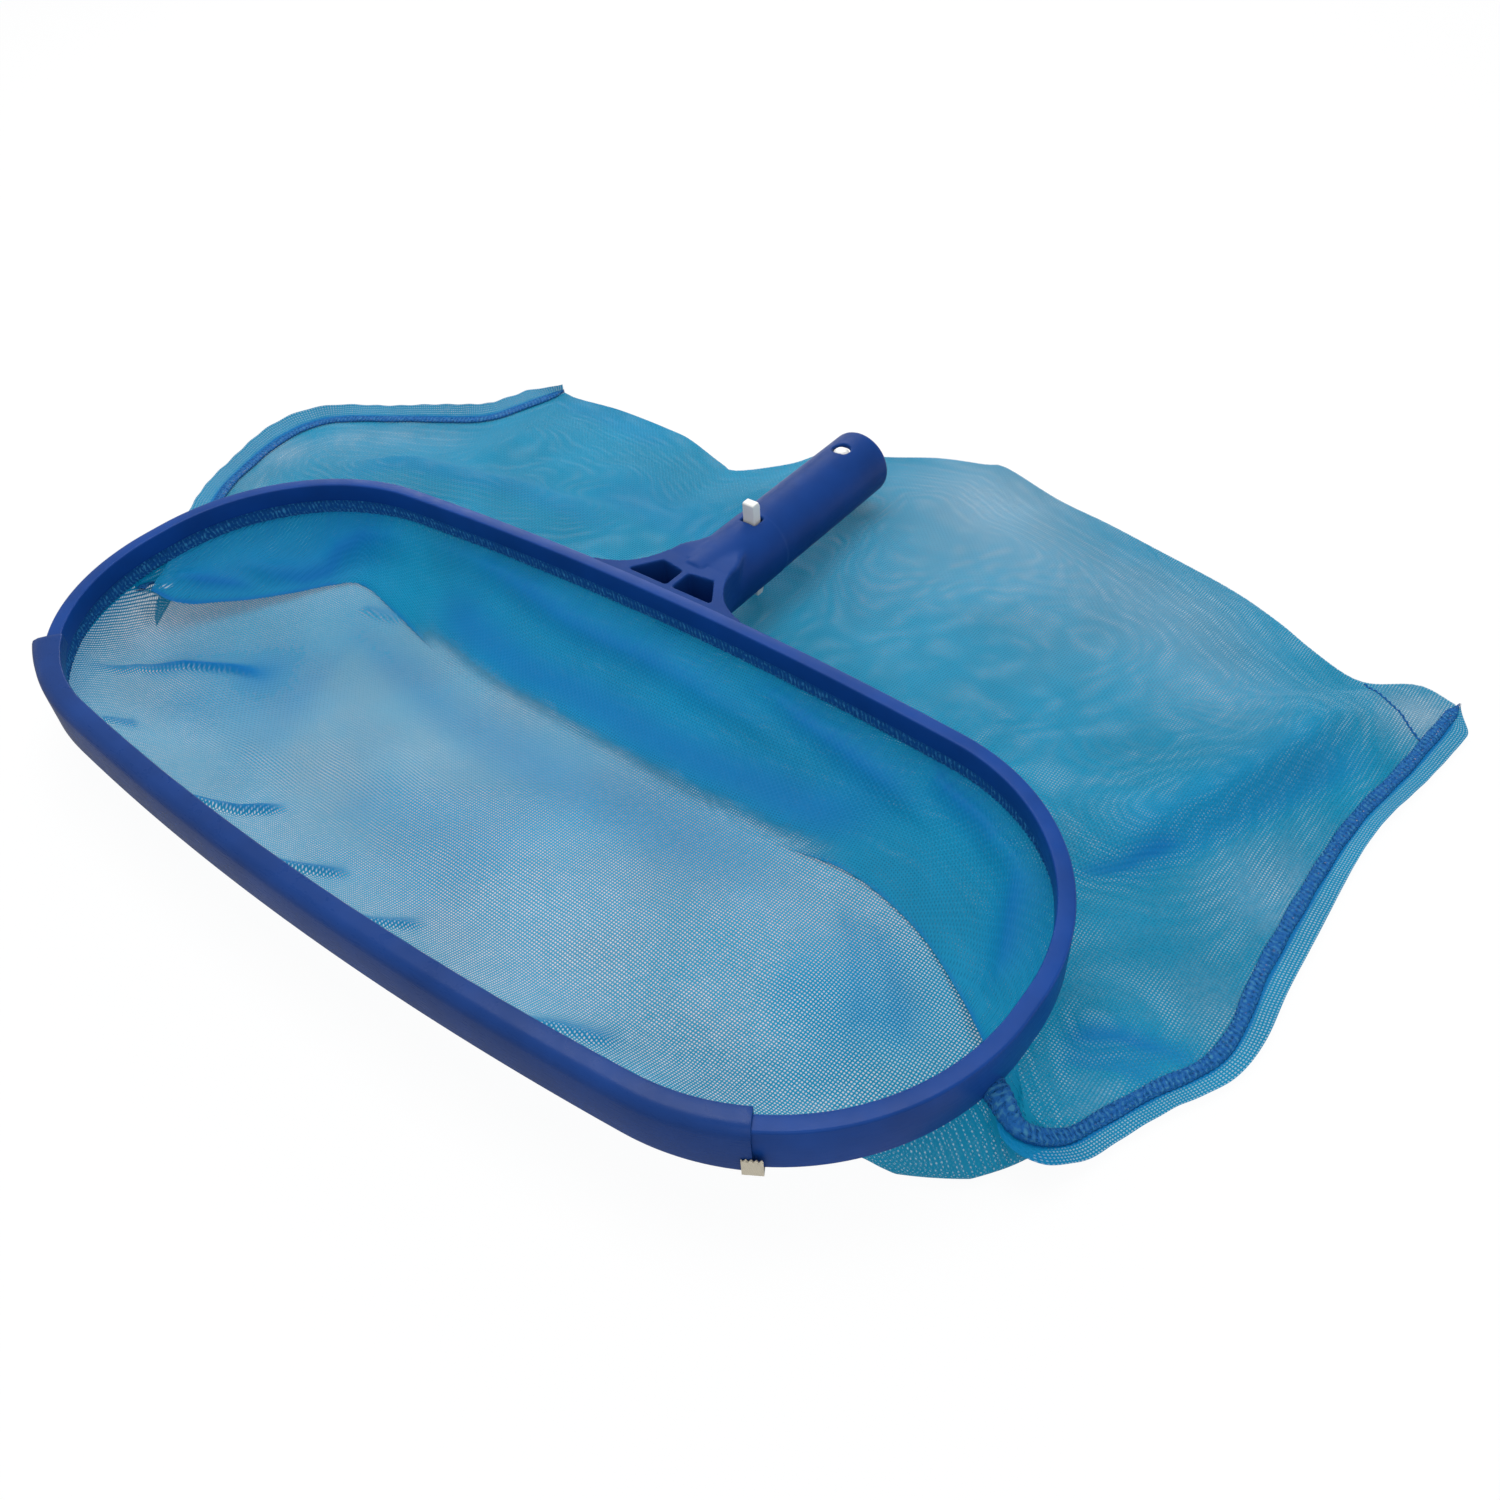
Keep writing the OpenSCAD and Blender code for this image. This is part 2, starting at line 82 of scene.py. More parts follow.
class HoopSettings(bpy.types.PropertyGroup):
    """Sizes of the moulded hoop."""
    width: length("Width", 0.412, "Width of the hoop from end to end")
    depth: length("Depth", 0.182, "Depth of the hoop from rear edge to front edge")
    rear_corner: length("Rear corners", 0.079, "Radius of the two rear corners")
    front_corner: length("Front corners", 0.084, "Radius of the two front corners")
    rear_bow: length("Rear bow", 0.0064, "How far the middle of the rear edge stands out")
    front_bow: length("Front bow", 0.0066, "How far the middle of the front edge stands out")
    height: length("Height", 0.0175, "Height of the outer wall")
    rim: length("Rim", 0.0056, "Width of the flat rim")
    rim_thick: length("Rim thickness", 0.0018, "Thickness of the rim")
    outer_wall: length("Outer wall", 0.0018, "Thickness of the outer wall")
    inner_wall: length("Inner wall", 0.0012, "Thickness of the inner wall")
    inner_drop: length("Inner drop", 0.008, "How far the inner wall reaches down")
    rounding: length("Rounding", 0.0009, "Rounding of the rim's outer edge")


class LipSettings(bpy.types.PropertyGroup):
    """Sizes of the lip clipped over the hoop's front."""
    thick: length("Thickness", 0.0012, "Thickness of the lip")
    shoulder: length("Shoulder", 0.004, "Radius of the rounded shoulder")
    leg: length("Inner leg", 0.004, "How far the inner leg reaches down")
    fit: length("Fit", 0.00015, "Clearance between the lip and the hoop")
    spring: length("Spring", 0.004, "How far the loose left end stands out")
    left_angle: bpy.props.FloatProperty(
        name="Left end", description="Angle of the left end on its corner",
        default=math.radians(50), subtype="ANGLE")
    right_angle: bpy.props.FloatProperty(
        name="Right end", description="Angle of the right end on its corner",
        default=math.radians(59), subtype="ANGLE")


class MouldingSettings(bpy.types.PropertyGroup):
    """How the handle, the clip and the cord's end are rounded."""
    handle_voxel: length("Handle voxel", 0.0006, "Voxel size that rounds the handle's edges")
    clip_voxel: length("Clip voxel", 0.00032, "Voxel size that rounds the clip's edges")
    cord_voxel: length("Cord voxel", 0.00018, "Voxel size that rounds the cord's end")
    blend: length("Blend", 0.016, "How far the yoke's top runs out on the socket")
    tuck: length("Tuck", 0.0014, "How far the handle runs into the hoop's wall")


class ClothSettings(bpy.types.PropertyGroup):
    """Sizes of the net and its sewing."""
    weave: length("Weave", 0.00108, "Distance from thread to thread")
    hole: bpy.props.FloatProperty(
        name="Hole", description="Share of the pitch that is open between two threads",
        default=0.54, subtype="FACTOR")
    channel: length("Channel", 0.0031, "Distance of the hem from the hoop's outer face")
    hem_top: length("Hem top", 0.0052, "Depth of the hem's top below the rim")
    hem_foot: length("Hem foot", 0.0155, "Depth of the hem's foot below the rim")
    stitch: length("Stitch", 0.0019, "Distance from stitch to stitch in the overlock")
    overlock: length("Overlock", 0.0052, "Width of the overlocked band on the side seams")
    allowance: length("Allowance", 0.0088, "Width of the cloth beyond the side seams")
    fade: length("Fold fade", 0.013, "How far the net thins out before its soft fold")


class ColourSettings(bpy.types.PropertyGroup):
    """Colours of the finishes."""
    plastic: shade("Plastic", (0.005, 0.046, 0.228), "Colour of the moulded hoop and handle")
    lip: shade("Lip", (0.008, 0.041, 0.185), "Colour of the clipped lip")
    thread: shade("Net thread", (0.002, 0.222, 0.385), "Colour of the net's threads")
    seam: shade("Seam thread", (0.006, 0.090, 0.300), "Colour of the overlock stitches")
    stitch_light: shade("Stitch light", (0.055, 0.280, 0.520),
                        "Colour of the looser loops in the overlock")
    cord: shade("Cord", (0.660, 0.590, 0.450), "Colour of the hem's cord")
    white: shade("Clip", (0.760, 0.750, 0.710), "Colour of the lock clip")


# ---------------- outline of the hoop

def bowed_edge(half, corner, bow):
    """A bowed edge between two corners: the half angle that it turns through, its radius
    and how far its centre lies from the centres of the corners."""
    reach = half - corner
    angle = 2 * math.atan((-reach + math.sqrt(reach ** 2 + 8 * corner * bow)) / (4 * corner))
    radius = corner + reach / math.sin(angle)
    return angle, radius, (radius - corner) * math.cos(angle)


def hoop_arcs(hoop):
    """The hoop's outline as arcs (centre x, centre y, radius, start, end), from the left
    end round the front. Angles in radians, hoop's rear edge at HOOP_REAR."""
    half = hoop.width / 2
    rear, rear_r, rear_gap = bowed_edge(half, hoop.rear_corner, hoop.rear_bow)
    front, front_r, front_gap = bowed_edge(half, hoop.front_corner, hoop.front_bow)
    rear_x, front_x = half - hoop.rear_corner, half - hoop.front_corner
    rear_mid, front_mid = HOOP_REAR - rear_r, HOOP_REAR - hoop.depth + front_r
    rear_y, front_y = rear_mid + rear_gap, front_mid - front_gap
    back, front_turn, full = 0.5 * math.pi, 1.5 * math.pi, 2 * math.pi
    return [
        (-front_x, front_y, hoop.front_corner, math.pi, front_turn - front),
        (0, front_mid, front_r, front_turn - front, front_turn + front),
        (front_x, front_y, hoop.front_corner, front_turn + front, full),
        (rear_x, rear_y, hoop.rear_corner, 0, back - rear),
        (0, rear_mid, rear_r, back - rear, back + rear),
        (-rear_x, rear_y, hoop.rear_corner, back + rear, math.pi),
    ]


class Path:
    """A curve in plan that is read by its share of length, with its left normal."""

    def __init__(self, points, normals=None):
        self.p = np.asarray(points, float)
        step = np.linalg.norm(np.diff(self.p, axis=0), axis=1)
        self.length = step.sum()
        self.t = np.r_[0, np.cumsum(step)] / self.length
        if normals is None:
            d = np.gradient(self.p, axis=0)
            d /= np.linalg.norm(d, axis=1)[:, None]
            normals = np.c_[-d[:, 1], d[:, 0]]
        self.n = np.asarray(normals, float)

    def read(self, table, t):
        return np.stack([np.interp(t, self.t, column) for column in table.T], -1)

    def at(self, t):
        """Points at shares of the length."""
        return self.read(self.p, t)

    def normal(self, t):
        n = self.read(self.n, t)
        return n / np.linalg.norm(n, axis=-1, keepdims=True)

    def beside(self, t, out):
        """Points at shares of the length, moved out to the left."""
        return self.at(t) + self.normal(t) * out[:, None]


def plan(points):
    """Millimetres from the hoop's rear edge, as places in the scene."""
    return np.array(points) * MM + (0, HOOP_REAR)


def smooth_path(points, per_span=14):
    """A Catmull-Rom curve through points of the plan."""
    keys = plan(points)
    curve = []
    for i, (a, b) in enumerate(zip(keys, keys[1:])):
        before = keys[i - 1] if i > 0 else 2 * a - b
        after = keys[i + 2] if i + 2 < len(keys) else 2 * b - a
        for s in np.arange(per_span) / per_span:
            curve.append(0.5 * (2 * a + (b - before) * s
                                + (2 * before - 5 * a + 4 * b - after) * s ** 2
                                + (3 * a - before - 3 * b + after) * s ** 3))
    return np.array([*curve, keys[-1]])


def hoop_half(hoop, inset, which):
    """The front or rear half of the hoop's outline from its left end to its right end."""
    arcs = hoop_arcs(hoop)
    order = arcs[:3] if which == "front" else [
        (x, y, r, e, s) for x, y, r, s, e in reversed(arcs[3:])]
    split = (arcs[0][1] + arcs[3][1]) / 2
    half = hoop.width / 2
    points, normals = [(-half, split)], [(1.0, 0.0)]
    for x, y, r, start, end in order:
        for a in np.linspace(start, end, 60):
            points.append((x + r * math.cos(a), y + r * math.sin(a)))
            normals.append((-math.cos(a), -math.sin(a)))
    points.append((half, split))
    normals.append((-1.0, 0.0))
    return Path(np.array(points) + inset * np.array(normals), normals)


def ring_path(hoop):
    """The whole outline, once round from the left end."""
    front, rear = hoop_half(hoop, 0, "front"), hoop_half(hoop, 0, "rear")
    return Path(np.vstack([front.p, rear.p[::-1][1:]]), np.vstack([front.n, rear.n[::-1][1:]]))


# Plan of the bag as it lies, in millimetres from the hoop's rear edge
LEFT_SEAM = [(-201, -106), (-226, -72), (-248, -46), (-262, -28), (-271, -10), (-280, 24),
             (-274, 49), (-243, 71), (-208, 93), (-198, 113), (-191, 139)]
REAR_FOLD = [(-191, 139), (-180, 138), (-153, 141), (-120, 140), (-104, 138), (-77, 129),
             (-67, 128), (-49, 147), (-39, 165), (-14, 177), (8, 190), (29, 197), (39, 200),
             (72, 189), (98, 184), (123, 178), (162, 168), (186, 158), (202, 149),
             (219, 141), (229, 141), (244, 150), (259, 146)]
RIGHT_SEAM = [(259, 146), (257, 130), (253, 99), (248, 70), (246, 40), (246, -10),
              (248, -36), (246, -52), (237, -69), (229, -86), (223, -100), (215, -110),
              (204, -107)]
FOLD_LINE = [(-198, -103), (-190, -99), (-182, -86), (-169, -65), (-158, -46), (-147, -37),
             (-117, -43), (-81, -52), (-48, -57), (-15, -57), (16, -58), (54, -58),
             (90, -56), (115, -52), (133, -54), (152, -60), (169, -70), (183, -81),
             (193, -91), (200, -102)]


def bag_outline():
    """The bag's whole edge, its left seam and its right seam."""
    left, rear, right = (smooth_path(line) for line in (LEFT_SEAM, REAR_FOLD, RIGHT_SEAM))
    return Path(np.vstack([left, rear[1:], right[1:]])), Path(left), Path(right)


# ---------------- modelling helpers

def deselect():
    if bpy.context.object and bpy.context.object.mode != "OBJECT":
        bpy.ops.object.mode_set(mode="OBJECT")
    bpy.ops.object.select_all(action="DESELECT")


def activate(obj):
    """Selects one object alone."""
    deselect()
    obj.select_set(True)
    bpy.context.view_layer.objects.active = obj


def edit_all(obj):
    """Edit mode with the whole mesh selected."""
    activate(obj)
    bpy.ops.object.mode_set(mode="EDIT")
    bpy.ops.mesh.select_all(action="SELECT")


def pick(obj, rule):
    """In edit mode, selects the vertices whose place meets the rule."""
    bpy.ops.mesh.select_all(action="DESELECT")
    bpy.ops.mesh.select_mode(type="VERT")
    mesh = bmesh.from_edit_mesh(obj.data)
    for v in mesh.verts:
        v.select_set(bool(rule(v.co)))
    mesh.select_flush(True)
    bmesh.update_edit_mesh(obj.data)


def close_up(obj, gap=MERGE):
    """Merges the points that meet and turns every face outwards."""
    edit_all(obj)
    bpy.ops.mesh.remove_doubles(threshold=gap)
    bpy.ops.mesh.normals_make_consistent(inside=False)
    bpy.ops.object.mode_set(mode="OBJECT")


def apply(obj, kind, **values):
    """Adds a modifier and applies it."""
    activate(obj)
    mod = obj.modifiers.new(kind.title(), kind)
    for key, value in values.items():
        setattr(mod, key, value)
    bpy.ops.object.modifier_apply(modifier=mod.name)


def rebuild(obj, voxel):
    """Rebuilds a closed shape in small cells, ready to be smoothed."""
    apply(obj, "REMESH", mode="VOXEL", voxel_size=voxel, use_smooth_shade=True)


def relax(obj, times, **values):
    """Smooths a mesh a number of times over."""
    apply(obj, "SMOOTH", factor=0.5, iterations=times, **values)


def coords(obj):
    """The mesh's points as rows of x, y and z."""
    co = np.empty(len(obj.data.vertices) * 3)
    obj.data.vertices.foreach_get("co", co)
    return co.reshape(-1, 3)


def set_coords(obj, co):
    obj.data.vertices.foreach_set("co", np.ascontiguousarray(co, float).ravel())
    obj.data.update()


def section(name, points, station):
    """A section of a swept strip at its first station, left in edit mode. Its points are
    (inset, height over the rim's top, rounding)."""
    x, y, r, angle = station
    deselect()
    bpy.ops.mesh.primitive_circle_add(vertices=len(points), radius=0.01, fill_type="NGON")
    obj = bpy.context.object
    obj.name = name
    places = [(x + (r - inset) * math.cos(angle), y + (r - inset) * math.sin(angle),
               HOOP_TOP + z) for inset, z, _ in points]
    for v, p in zip(obj.data.vertices, places):
        v.co = p
    bpy.ops.object.mode_set(mode="EDIT")
    for size in sorted({rounding for *_, rounding in points}):
        wanted = [p for p, (*_, rounding) in zip(places, points) if rounding == size]
        pick(obj, lambda co: any((co - type(co)(w)).length < MERGE / 10 for w in wanted))
        bpy.ops.mesh.bevel(offset=size, segments=4, affect="VERTICES")
    bpy.ops.mesh.select_all(action="SELECT")
    return obj


def sweep_arc(arc, steps):
    """Spins the selected end of a strip counterclockwise about the arc's centre."""
    x, y, _, start, end = arc
    bpy.ops.mesh.spin(steps=steps, angle=end - start, center=(x, y, HOOP_TOP), axis=(0, 0, -1))


def grid(name, columns, rows, place, uv, marks=None):
    """A grid primitive whose points are put in place by place(u, v), with its UV map in
    metres along the cloth from uv(u, v) and its attributes from marks(u, v, points)."""
    deselect()
    bpy.ops.mesh.primitive_grid_add(x_subdivisions=columns, y_subdivisions=rows, size=1,
                                    calc_uvs=True)
    obj = bpy.context.object
    obj.name = name
    u, v = coords(obj)[:, :2].T + 0.5
    points = place(u, v)
    set_coords(obj, points)
    if marks:
        for key, values in marks(u, v, points).items():
            layer = obj.data.attributes.new(key, "FLOAT", "POINT")
            layer.data.foreach_set("value", np.clip(values, -1, 1).astype(np.float32))
    index = np.empty(len(obj.data.loops), int)
    obj.data.loops.foreach_get("vertex_index", index)
    layer = obj.data.uv_layers.active
    layer.name = "Cloth"
    layer.data.foreach_set("uv", np.asarray(uv(u, v), float)[index].ravel())
    bpy.ops.object.shade_smooth()
    return obj


def tube_grid(name, columns, rows, place, uv):
    """A grid rolled into a closed tube."""
    obj = grid(name, columns, rows, place, uv)
    close_up(obj)
    return obj


def keep_origin(obj):
    """Puts an object's place and size into its mesh."""
    activate(obj)
    bpy.ops.object.transform_apply(location=True, rotation=True, scale=True)


def cad_copy(node, name):
    """A merged copy of a CAD node, free of its body."""
    obj = bpy.data.objects.new(name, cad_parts[node].data.copy())
    bpy.context.scene.collection.objects.link(obj)
    edit_all(obj)
    bpy.ops.mesh.remove_doubles(threshold=MERGE)
    bpy.ops.object.mode_set(mode="OBJECT")
    return obj


def paint(obj, material):
    obj.data.materials.clear()
    obj.data.materials.append(material)


def finish_piece(obj, material, body="frame", replaced=()):
    """Paints a piece and gives it its body and the nodes it stands for."""
    paint(obj, material)
    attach(obj, body)
    if replaced:
        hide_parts(*replaced)
    deselect()


# ---------------- materials

# Depth of the grain of each finish, in metres
PLASTIC_RELIEF, WEAVE_RELIEF, STITCH_RELIEF, BRAID_RELIEF = 0.00005, 0.00012, 0.0004, 0.0001
# Colour of the net in painted shade, in its folds and creases and where it is gathered into many
# layers
SHADED_NET = (0.001, 0.080, 0.27, 1)


class Wires:
    """Short calls for adding nodes to one tree. A socket is given a number, a colour or the
    output that feeds it, and each node answers with its outputs."""

    def __init__(self, tree):
        tree.nodes.clear()
        self.tree = tree

    def add(self, kind, sockets=None, **values):
        node = self.tree.nodes.new(kind)
        for key, value in values.items():
            setattr(node, key, value)
        for key, value in (sockets or {}).items():
            if isinstance(value, bpy.types.NodeSocket):
                self.tree.links.new(value, node.inputs[key])
            else:
                node.inputs[key].default_value = value
        return node.outputs

    def math(self, operation, *values, clamp=False):
        return self.add("ShaderNodeMath", dict(enumerate(values)), operation=operation,
                        use_clamp=clamp)[0]

    def ramp(self, value, low, high, to_low=0.0, to_high=1.0):
        return self.add("ShaderNodeMapRange", dict(enumerate((value, low, high, to_low, to_high))),
                        interpolation_type="SMOOTHSTEP")[0]

    def mix(self, share, a, b, blend="MIX"):
        return self.add("ShaderNodeMix", {0: share, 6: a, 7: b}, data_type="RGBA",
                        blend_type=blend)[2]

    def tinted(self, colour, tone):
        """A colour made lighter or darker by a number."""
        grey = self.add("ShaderNodeCombineColor", dict.fromkeys(range(3), tone))[0]
        return self.mix(1.0, colour, grey, "MULTIPLY")

    def noise(self, vector, scale, detail=2.0, rough=0.5, out="Fac"):
        return self.add("ShaderNodeTexNoise", {"Vector": vector, "Scale": scale,
                                               "Detail": detail, "Roughness": rough})[out]

    def object_place(self):
        return self.add("ShaderNodeTexCoord")["Object"]

    def split(self, vector):
        return self.add("ShaderNodeSeparateXYZ", {0: vector})

    def wandering(self, uv, scale, rough, reach):
        """The cloth's UV map, pushed about by noise, so that no thread runs dead straight."""
        push = self.noise(uv, scale, 2.0, rough, "Color")
        return self.add("ShaderNodeVectorMath", {0: push, 1: (*reach, 0), 2: uv},
                        operation="MULTIPLY_ADD")[0]

    def bump(self, height, distance):
        return self.add("ShaderNodeBump", {"Distance": distance, "Height": height})[0]


def node_group(name, inputs, outputs, build):
    """A shader node group, or the one made before: build(w, given) makes its outputs."""
    group = bpy.data.node_groups.get(name)
    if group is None:
        group = bpy.data.node_groups.new(name, "ShaderNodeTree")
        for label, default in inputs.items():
            kind = "NodeSocketColor" if isinstance(default, tuple) else "NodeSocketFloat"
            socket = group.interface.new_socket(label, in_out="INPUT", socket_type=kind)
            socket.default_value = default
        for label in outputs:
            kind = "NodeSocketColor" if label == "Colour" else "NodeSocketFloat"
            group.interface.new_socket(label, in_out="OUTPUT", socket_type=kind)
        w = Wires(group)
        w.add("NodeGroupOutput", build(w, w.add("NodeGroupInput")))
    return group


def moulding_marks(w, given):
    """Moulded plastic: slow colour variation, flow marks, fine grain and rubbed scuffs."""
    place = w.object_place()
    cloud = w.noise(place, 38.0, 3.0)
    grain = w.noise(place, 2600.0)
    flow = w.add("ShaderNodeMapping", {"Vector": place, "Scale": (1.0, 1.0, 9.0)})[0]
    streak = w.ramp(w.noise(flow, 160.0, 4.0, 0.65), 0.3, 0.7, -0.05, 0.07)
    drawn = w.add("ShaderNodeMapping", {"Vector": place, "Rotation": (0.3, 0.2, 0.7),
                                        "Scale": (0.6, 14.0, 8.0)})[0]
    scratch = w.ramp(w.noise(drawn, 120.0, 3.0, 0.7), 0.66, 0.74)
    rubbed = w.math("MULTIPLY", scratch, given["Scuffs"])
    toned = w.tinted(given["Colour"], w.ramp(cloud, 0.25, 0.75, 0.86, 1.12))
    return {
        "Colour": w.mix(rubbed, toned, given["Rubbed"]),
        "Roughness": w.math("ADD", w.math("ADD", given["Roughness"], streak),
                            w.math("MULTIPLY", rubbed, 0.2), clamp=True),
        "Height": w.math("ADD", w.math("MULTIPLY", grain, 0.25),
                         w.math("MULTIPLY", cloud, 0.6)),
    }


def weave_marks(w, given):
    """Net weave on the cloth's UV map: share covered, thread shade and thread height."""
    uv = w.add("ShaderNodeUVMap", uv_map="Cloth")[0]
    shift = w.wandering(uv, 45.0, 0.5, (0.0016, 0.0016))
    turned = w.add("ShaderNodeVectorRotate", {"Vector": shift, "Angle": given["Turn"]},
                   rotation_type="Z_AXIS")[0]
    across = w.split(turned)
    half = w.math("MULTIPLY", given["Hole"], 0.5)
    gaps, over = [], []
    for axis in (0, 1):
        at = w.math("DIVIDE", across[axis], given["Pitch"])
        off = w.math("ABSOLUTE", w.math("SUBTRACT", w.math("FRACT", at), 0.5))
        gaps.append(w.ramp(w.math("SUBTRACT", half, off), -0.09, 0.09))
        over.append(w.math("SINE", w.math("MULTIPLY", at, math.pi)))
    return {
        "Cover": w.math("MULTIPLY_ADD", w.math("MULTIPLY", *gaps), -0.46, 0.972),
        "Shade": w.ramp(w.noise(uv, 18.0, 3.0), 0.2, 0.8, 0.86, 1.12),
        "Height": w.ramp(w.math("MULTIPLY", *over), -0.8, 0.8),
    }


def stitch_marks(w, given):
    """Overlock stitches across a band: slanted loops with lighter strands."""
    uv = w.add("ShaderNodeUVMap", uv_map="Cloth")[0]
    shift = w.wandering(uv, 500.0, 0.6, (0.0024, 0.0020))
    along, across, _ = w.split(shift)
    run = w.math("ADD", along, w.math("MULTIPLY", across, given["Slant"]))
    turns = w.math("MULTIPLY", w.math("DIVIDE", run, given["Pitch"]), 2 * math.pi)
    loops = w.math("MULTIPLY", w.math("SINE", turns), 0.22)
    ply = w.math("MULTIPLY", w.math("SINE", w.math("MULTIPLY", across, 5200.0)), 0.12)
    speck = w.math("MULTIPLY", w.noise(shift, 800.0, 3.0, 0.7), 2.0)
    mixed = w.math("ADD", w.math("ADD", loops, ply), speck)
    return {"Light": w.ramp(mixed, 0.95, 1.55), "Height": w.ramp(mixed, 0.3, 1.6),
            "Cover": w.ramp(mixed, 0.55, 0.95, 0.45, 1.0)}


def moulded_group():
    return node_group(
        "Moulded plastic",
        {"Colour": (0.02, 0.05, 0.2, 1), "Rubbed": (0.1, 0.15, 0.3, 1),
         "Roughness": 0.35, "Scuffs": 0.3},
        ("Colour", "Roughness", "Height"), moulding_marks)


def weave_group():
    return node_group("Net weave", {"Pitch": 0.0011, "Hole": 0.44, "Turn": 0.0},
                      ("Cover", "Shade", "Height"), weave_marks)


def stitch_group():
    return node_group("Overlock stitches", {"Pitch": 0.0019, "Slant": 0.35},
                      ("Light", "Height", "Cover"), stitch_marks)


def rgba(colour, lift=1.0):
    """A colour made lighter or darker, with its alpha."""
    return tuple(min(1.0, c * lift) for c in colour) + (1.0,)


def surface(name, build):
    """A material, or the one made before: build(w) makes its Principled shader's inputs."""
    material = bpy.data.materials.get(name)
    if material is None:
        material = bpy.data.materials.new(name)
        material.use_nodes = True
        w = Wires(material.node_tree)
        shader = w.add("ShaderNodeBsdfPrincipled", build(w))[0]
        w.add("ShaderNodeOutputMaterial", {0: shader})
    return material


def plastic(name, colour, roughness, scuffs, rubbed=2.2, shine=0.14):
    """Moulded plastic; rubbed is how much lighter its scuffs are."""
    def build(w):
        marks = w.add("ShaderNodeGroup", {
            "Colour": rgba(colour), "Rubbed": rgba([c * rubbed + 0.01 for c in colour]),
            "Roughness": roughness, "Scuffs": scuffs}, node_tree=moulded_group())
        return {"Base Color": marks["Colour"], "Roughness": marks["Roughness"],
                "Specular IOR Level": shine, "IOR": 1.5,
                "Normal": w.bump(marks["Height"], PLASTIC_RELIEF)}
    return surface(name, build)


def net_material(name, colour, cloth, turn=0.0, dense=0.0, rings=0.0):
    """Open net: threads from the weave, darker by painted shade in folds, creases and gathers,
    closed where the cloth is gathered, opener where it is thin, with faint rings where two layers
    lie over each other."""
    def build(w):
        weave = w.add("ShaderNodeGroup", {"Pitch": cloth.weave, "Hole": cloth.hole,
                                          "Turn": turn}, node_tree=weave_group())
        layers_and_shade, thin = (w.add("ShaderNodeAttribute", attribute_name=key)["Fac"]
                        for key in ("layers_and_shade", "thin"))
        tone = w.tinted(rgba(colour, 0.70), weave["Shade"])
        # painted shade: the threads turn towards the shaded net colour where the mesh marks folds,
        # creases and gathered layers
        shaded_tone = w.mix(w.math("MULTIPLY", layers_and_shade, 0.8, clamp=True), tone, SHADED_NET)
        place = w.object_place()
        grain = w.ramp(w.noise(place, 420.0, 2.0, 0.7), 0.3, 0.7, -0.035, 0.035)
        cloud = w.ramp(w.noise(place, 26.0, 3.0, 0.6), 0.3, 0.7, -0.022, 0.02)
        ring = w.math("SINE", w.math("MULTIPLY", w.noise(place, 10.0, 1.0, 0.4), 330.0))
        patch = w.ramp(w.noise(place, 15.0, 1.0), 0.42, 0.62)
        ring = w.math("MULTIPLY", w.math("MULTIPLY", ring, patch), rings)
        loose = w.math("ADD", w.math("ADD", grain, cloud), ring)
        closed = w.math("ADD", w.math("MULTIPLY", layers_and_shade, 0.5), dense)
        cover = w.math("ADD", w.math("SUBTRACT", weave["Cover"], thin), loose)
        cover = w.math("ADD", cover, closed, clamp=True)
        # the threads let some light through, so their shadow is a light one
        shadow = w.add("ShaderNodeLightPath")["Is Shadow Ray"]
        alpha = w.math("MULTIPLY", cover, w.math("MULTIPLY_ADD", shadow, -0.3, 1.0))
        # and a share of their colour glows as painted light, standing in for light that passes
        # through the threads
        return {"Base Color": shaded_tone, "Alpha": alpha, "Emission Color": shaded_tone,
                "Emission Strength": 0.42, "Roughness": 0.6, "Specular IOR Level": 0.12,
                "Normal": w.bump(weave["Height"], WEAVE_RELIEF)}
    return surface(name, build)


def stitch_material(name, base, light, cloth, openings=False):
    """Overlock thread with looser, lighter loops, and small gaps where it has openings."""
    def build(w):
        stitches = w.add("ShaderNodeGroup", {"Pitch": cloth.stitch, "Slant": 0.35},
                         node_tree=stitch_group())
        colour = w.mix(stitches["Light"], rgba(base), rgba(light))
        return {"Base Color": colour, "Roughness": 0.6, "Specular IOR Level": 0.15,
                "Alpha": stitches["Cover"] if openings else 1.0,
                "Normal": w.bump(stitches["Height"], STITCH_RELIEF)}
    return surface(name, build)


def cord_material(colour):
    """Braided cord."""
    def build(w):
        braid = w.add("ShaderNodeTexWave", {"Vector": w.object_place(), "Scale": 900.0,
                                            "Distortion": 1.5},
                      wave_type="BANDS", bands_direction="DIAGONAL")["Fac"]
        strand = w.mix(w.ramp(braid, 0.2, 0.8), rgba(colour, 0.7), rgba(colour, 1.15))
        return {"Base Color": strand, "Roughness": 0.8, "Normal": w.bump(braid, BRAID_RELIEF)}
    return surface("Cream cord", build)


# ---------------- cloth shapes

def smoothstep(x):
    """0 below 0, 1 above 1, and soft between."""
    x = np.clip(x, 0, 1)
    return x * x * (3 - 2 * x)


def window(rise, fall):
    """1 where both shares are past 1, and 0 where either is below 0."""
    return smoothstep(rise) * smoothstep(fall)


def soft_power(x, power):
    """A power that keeps the sign."""
    return np.sign(x) * np.abs(x) ** power


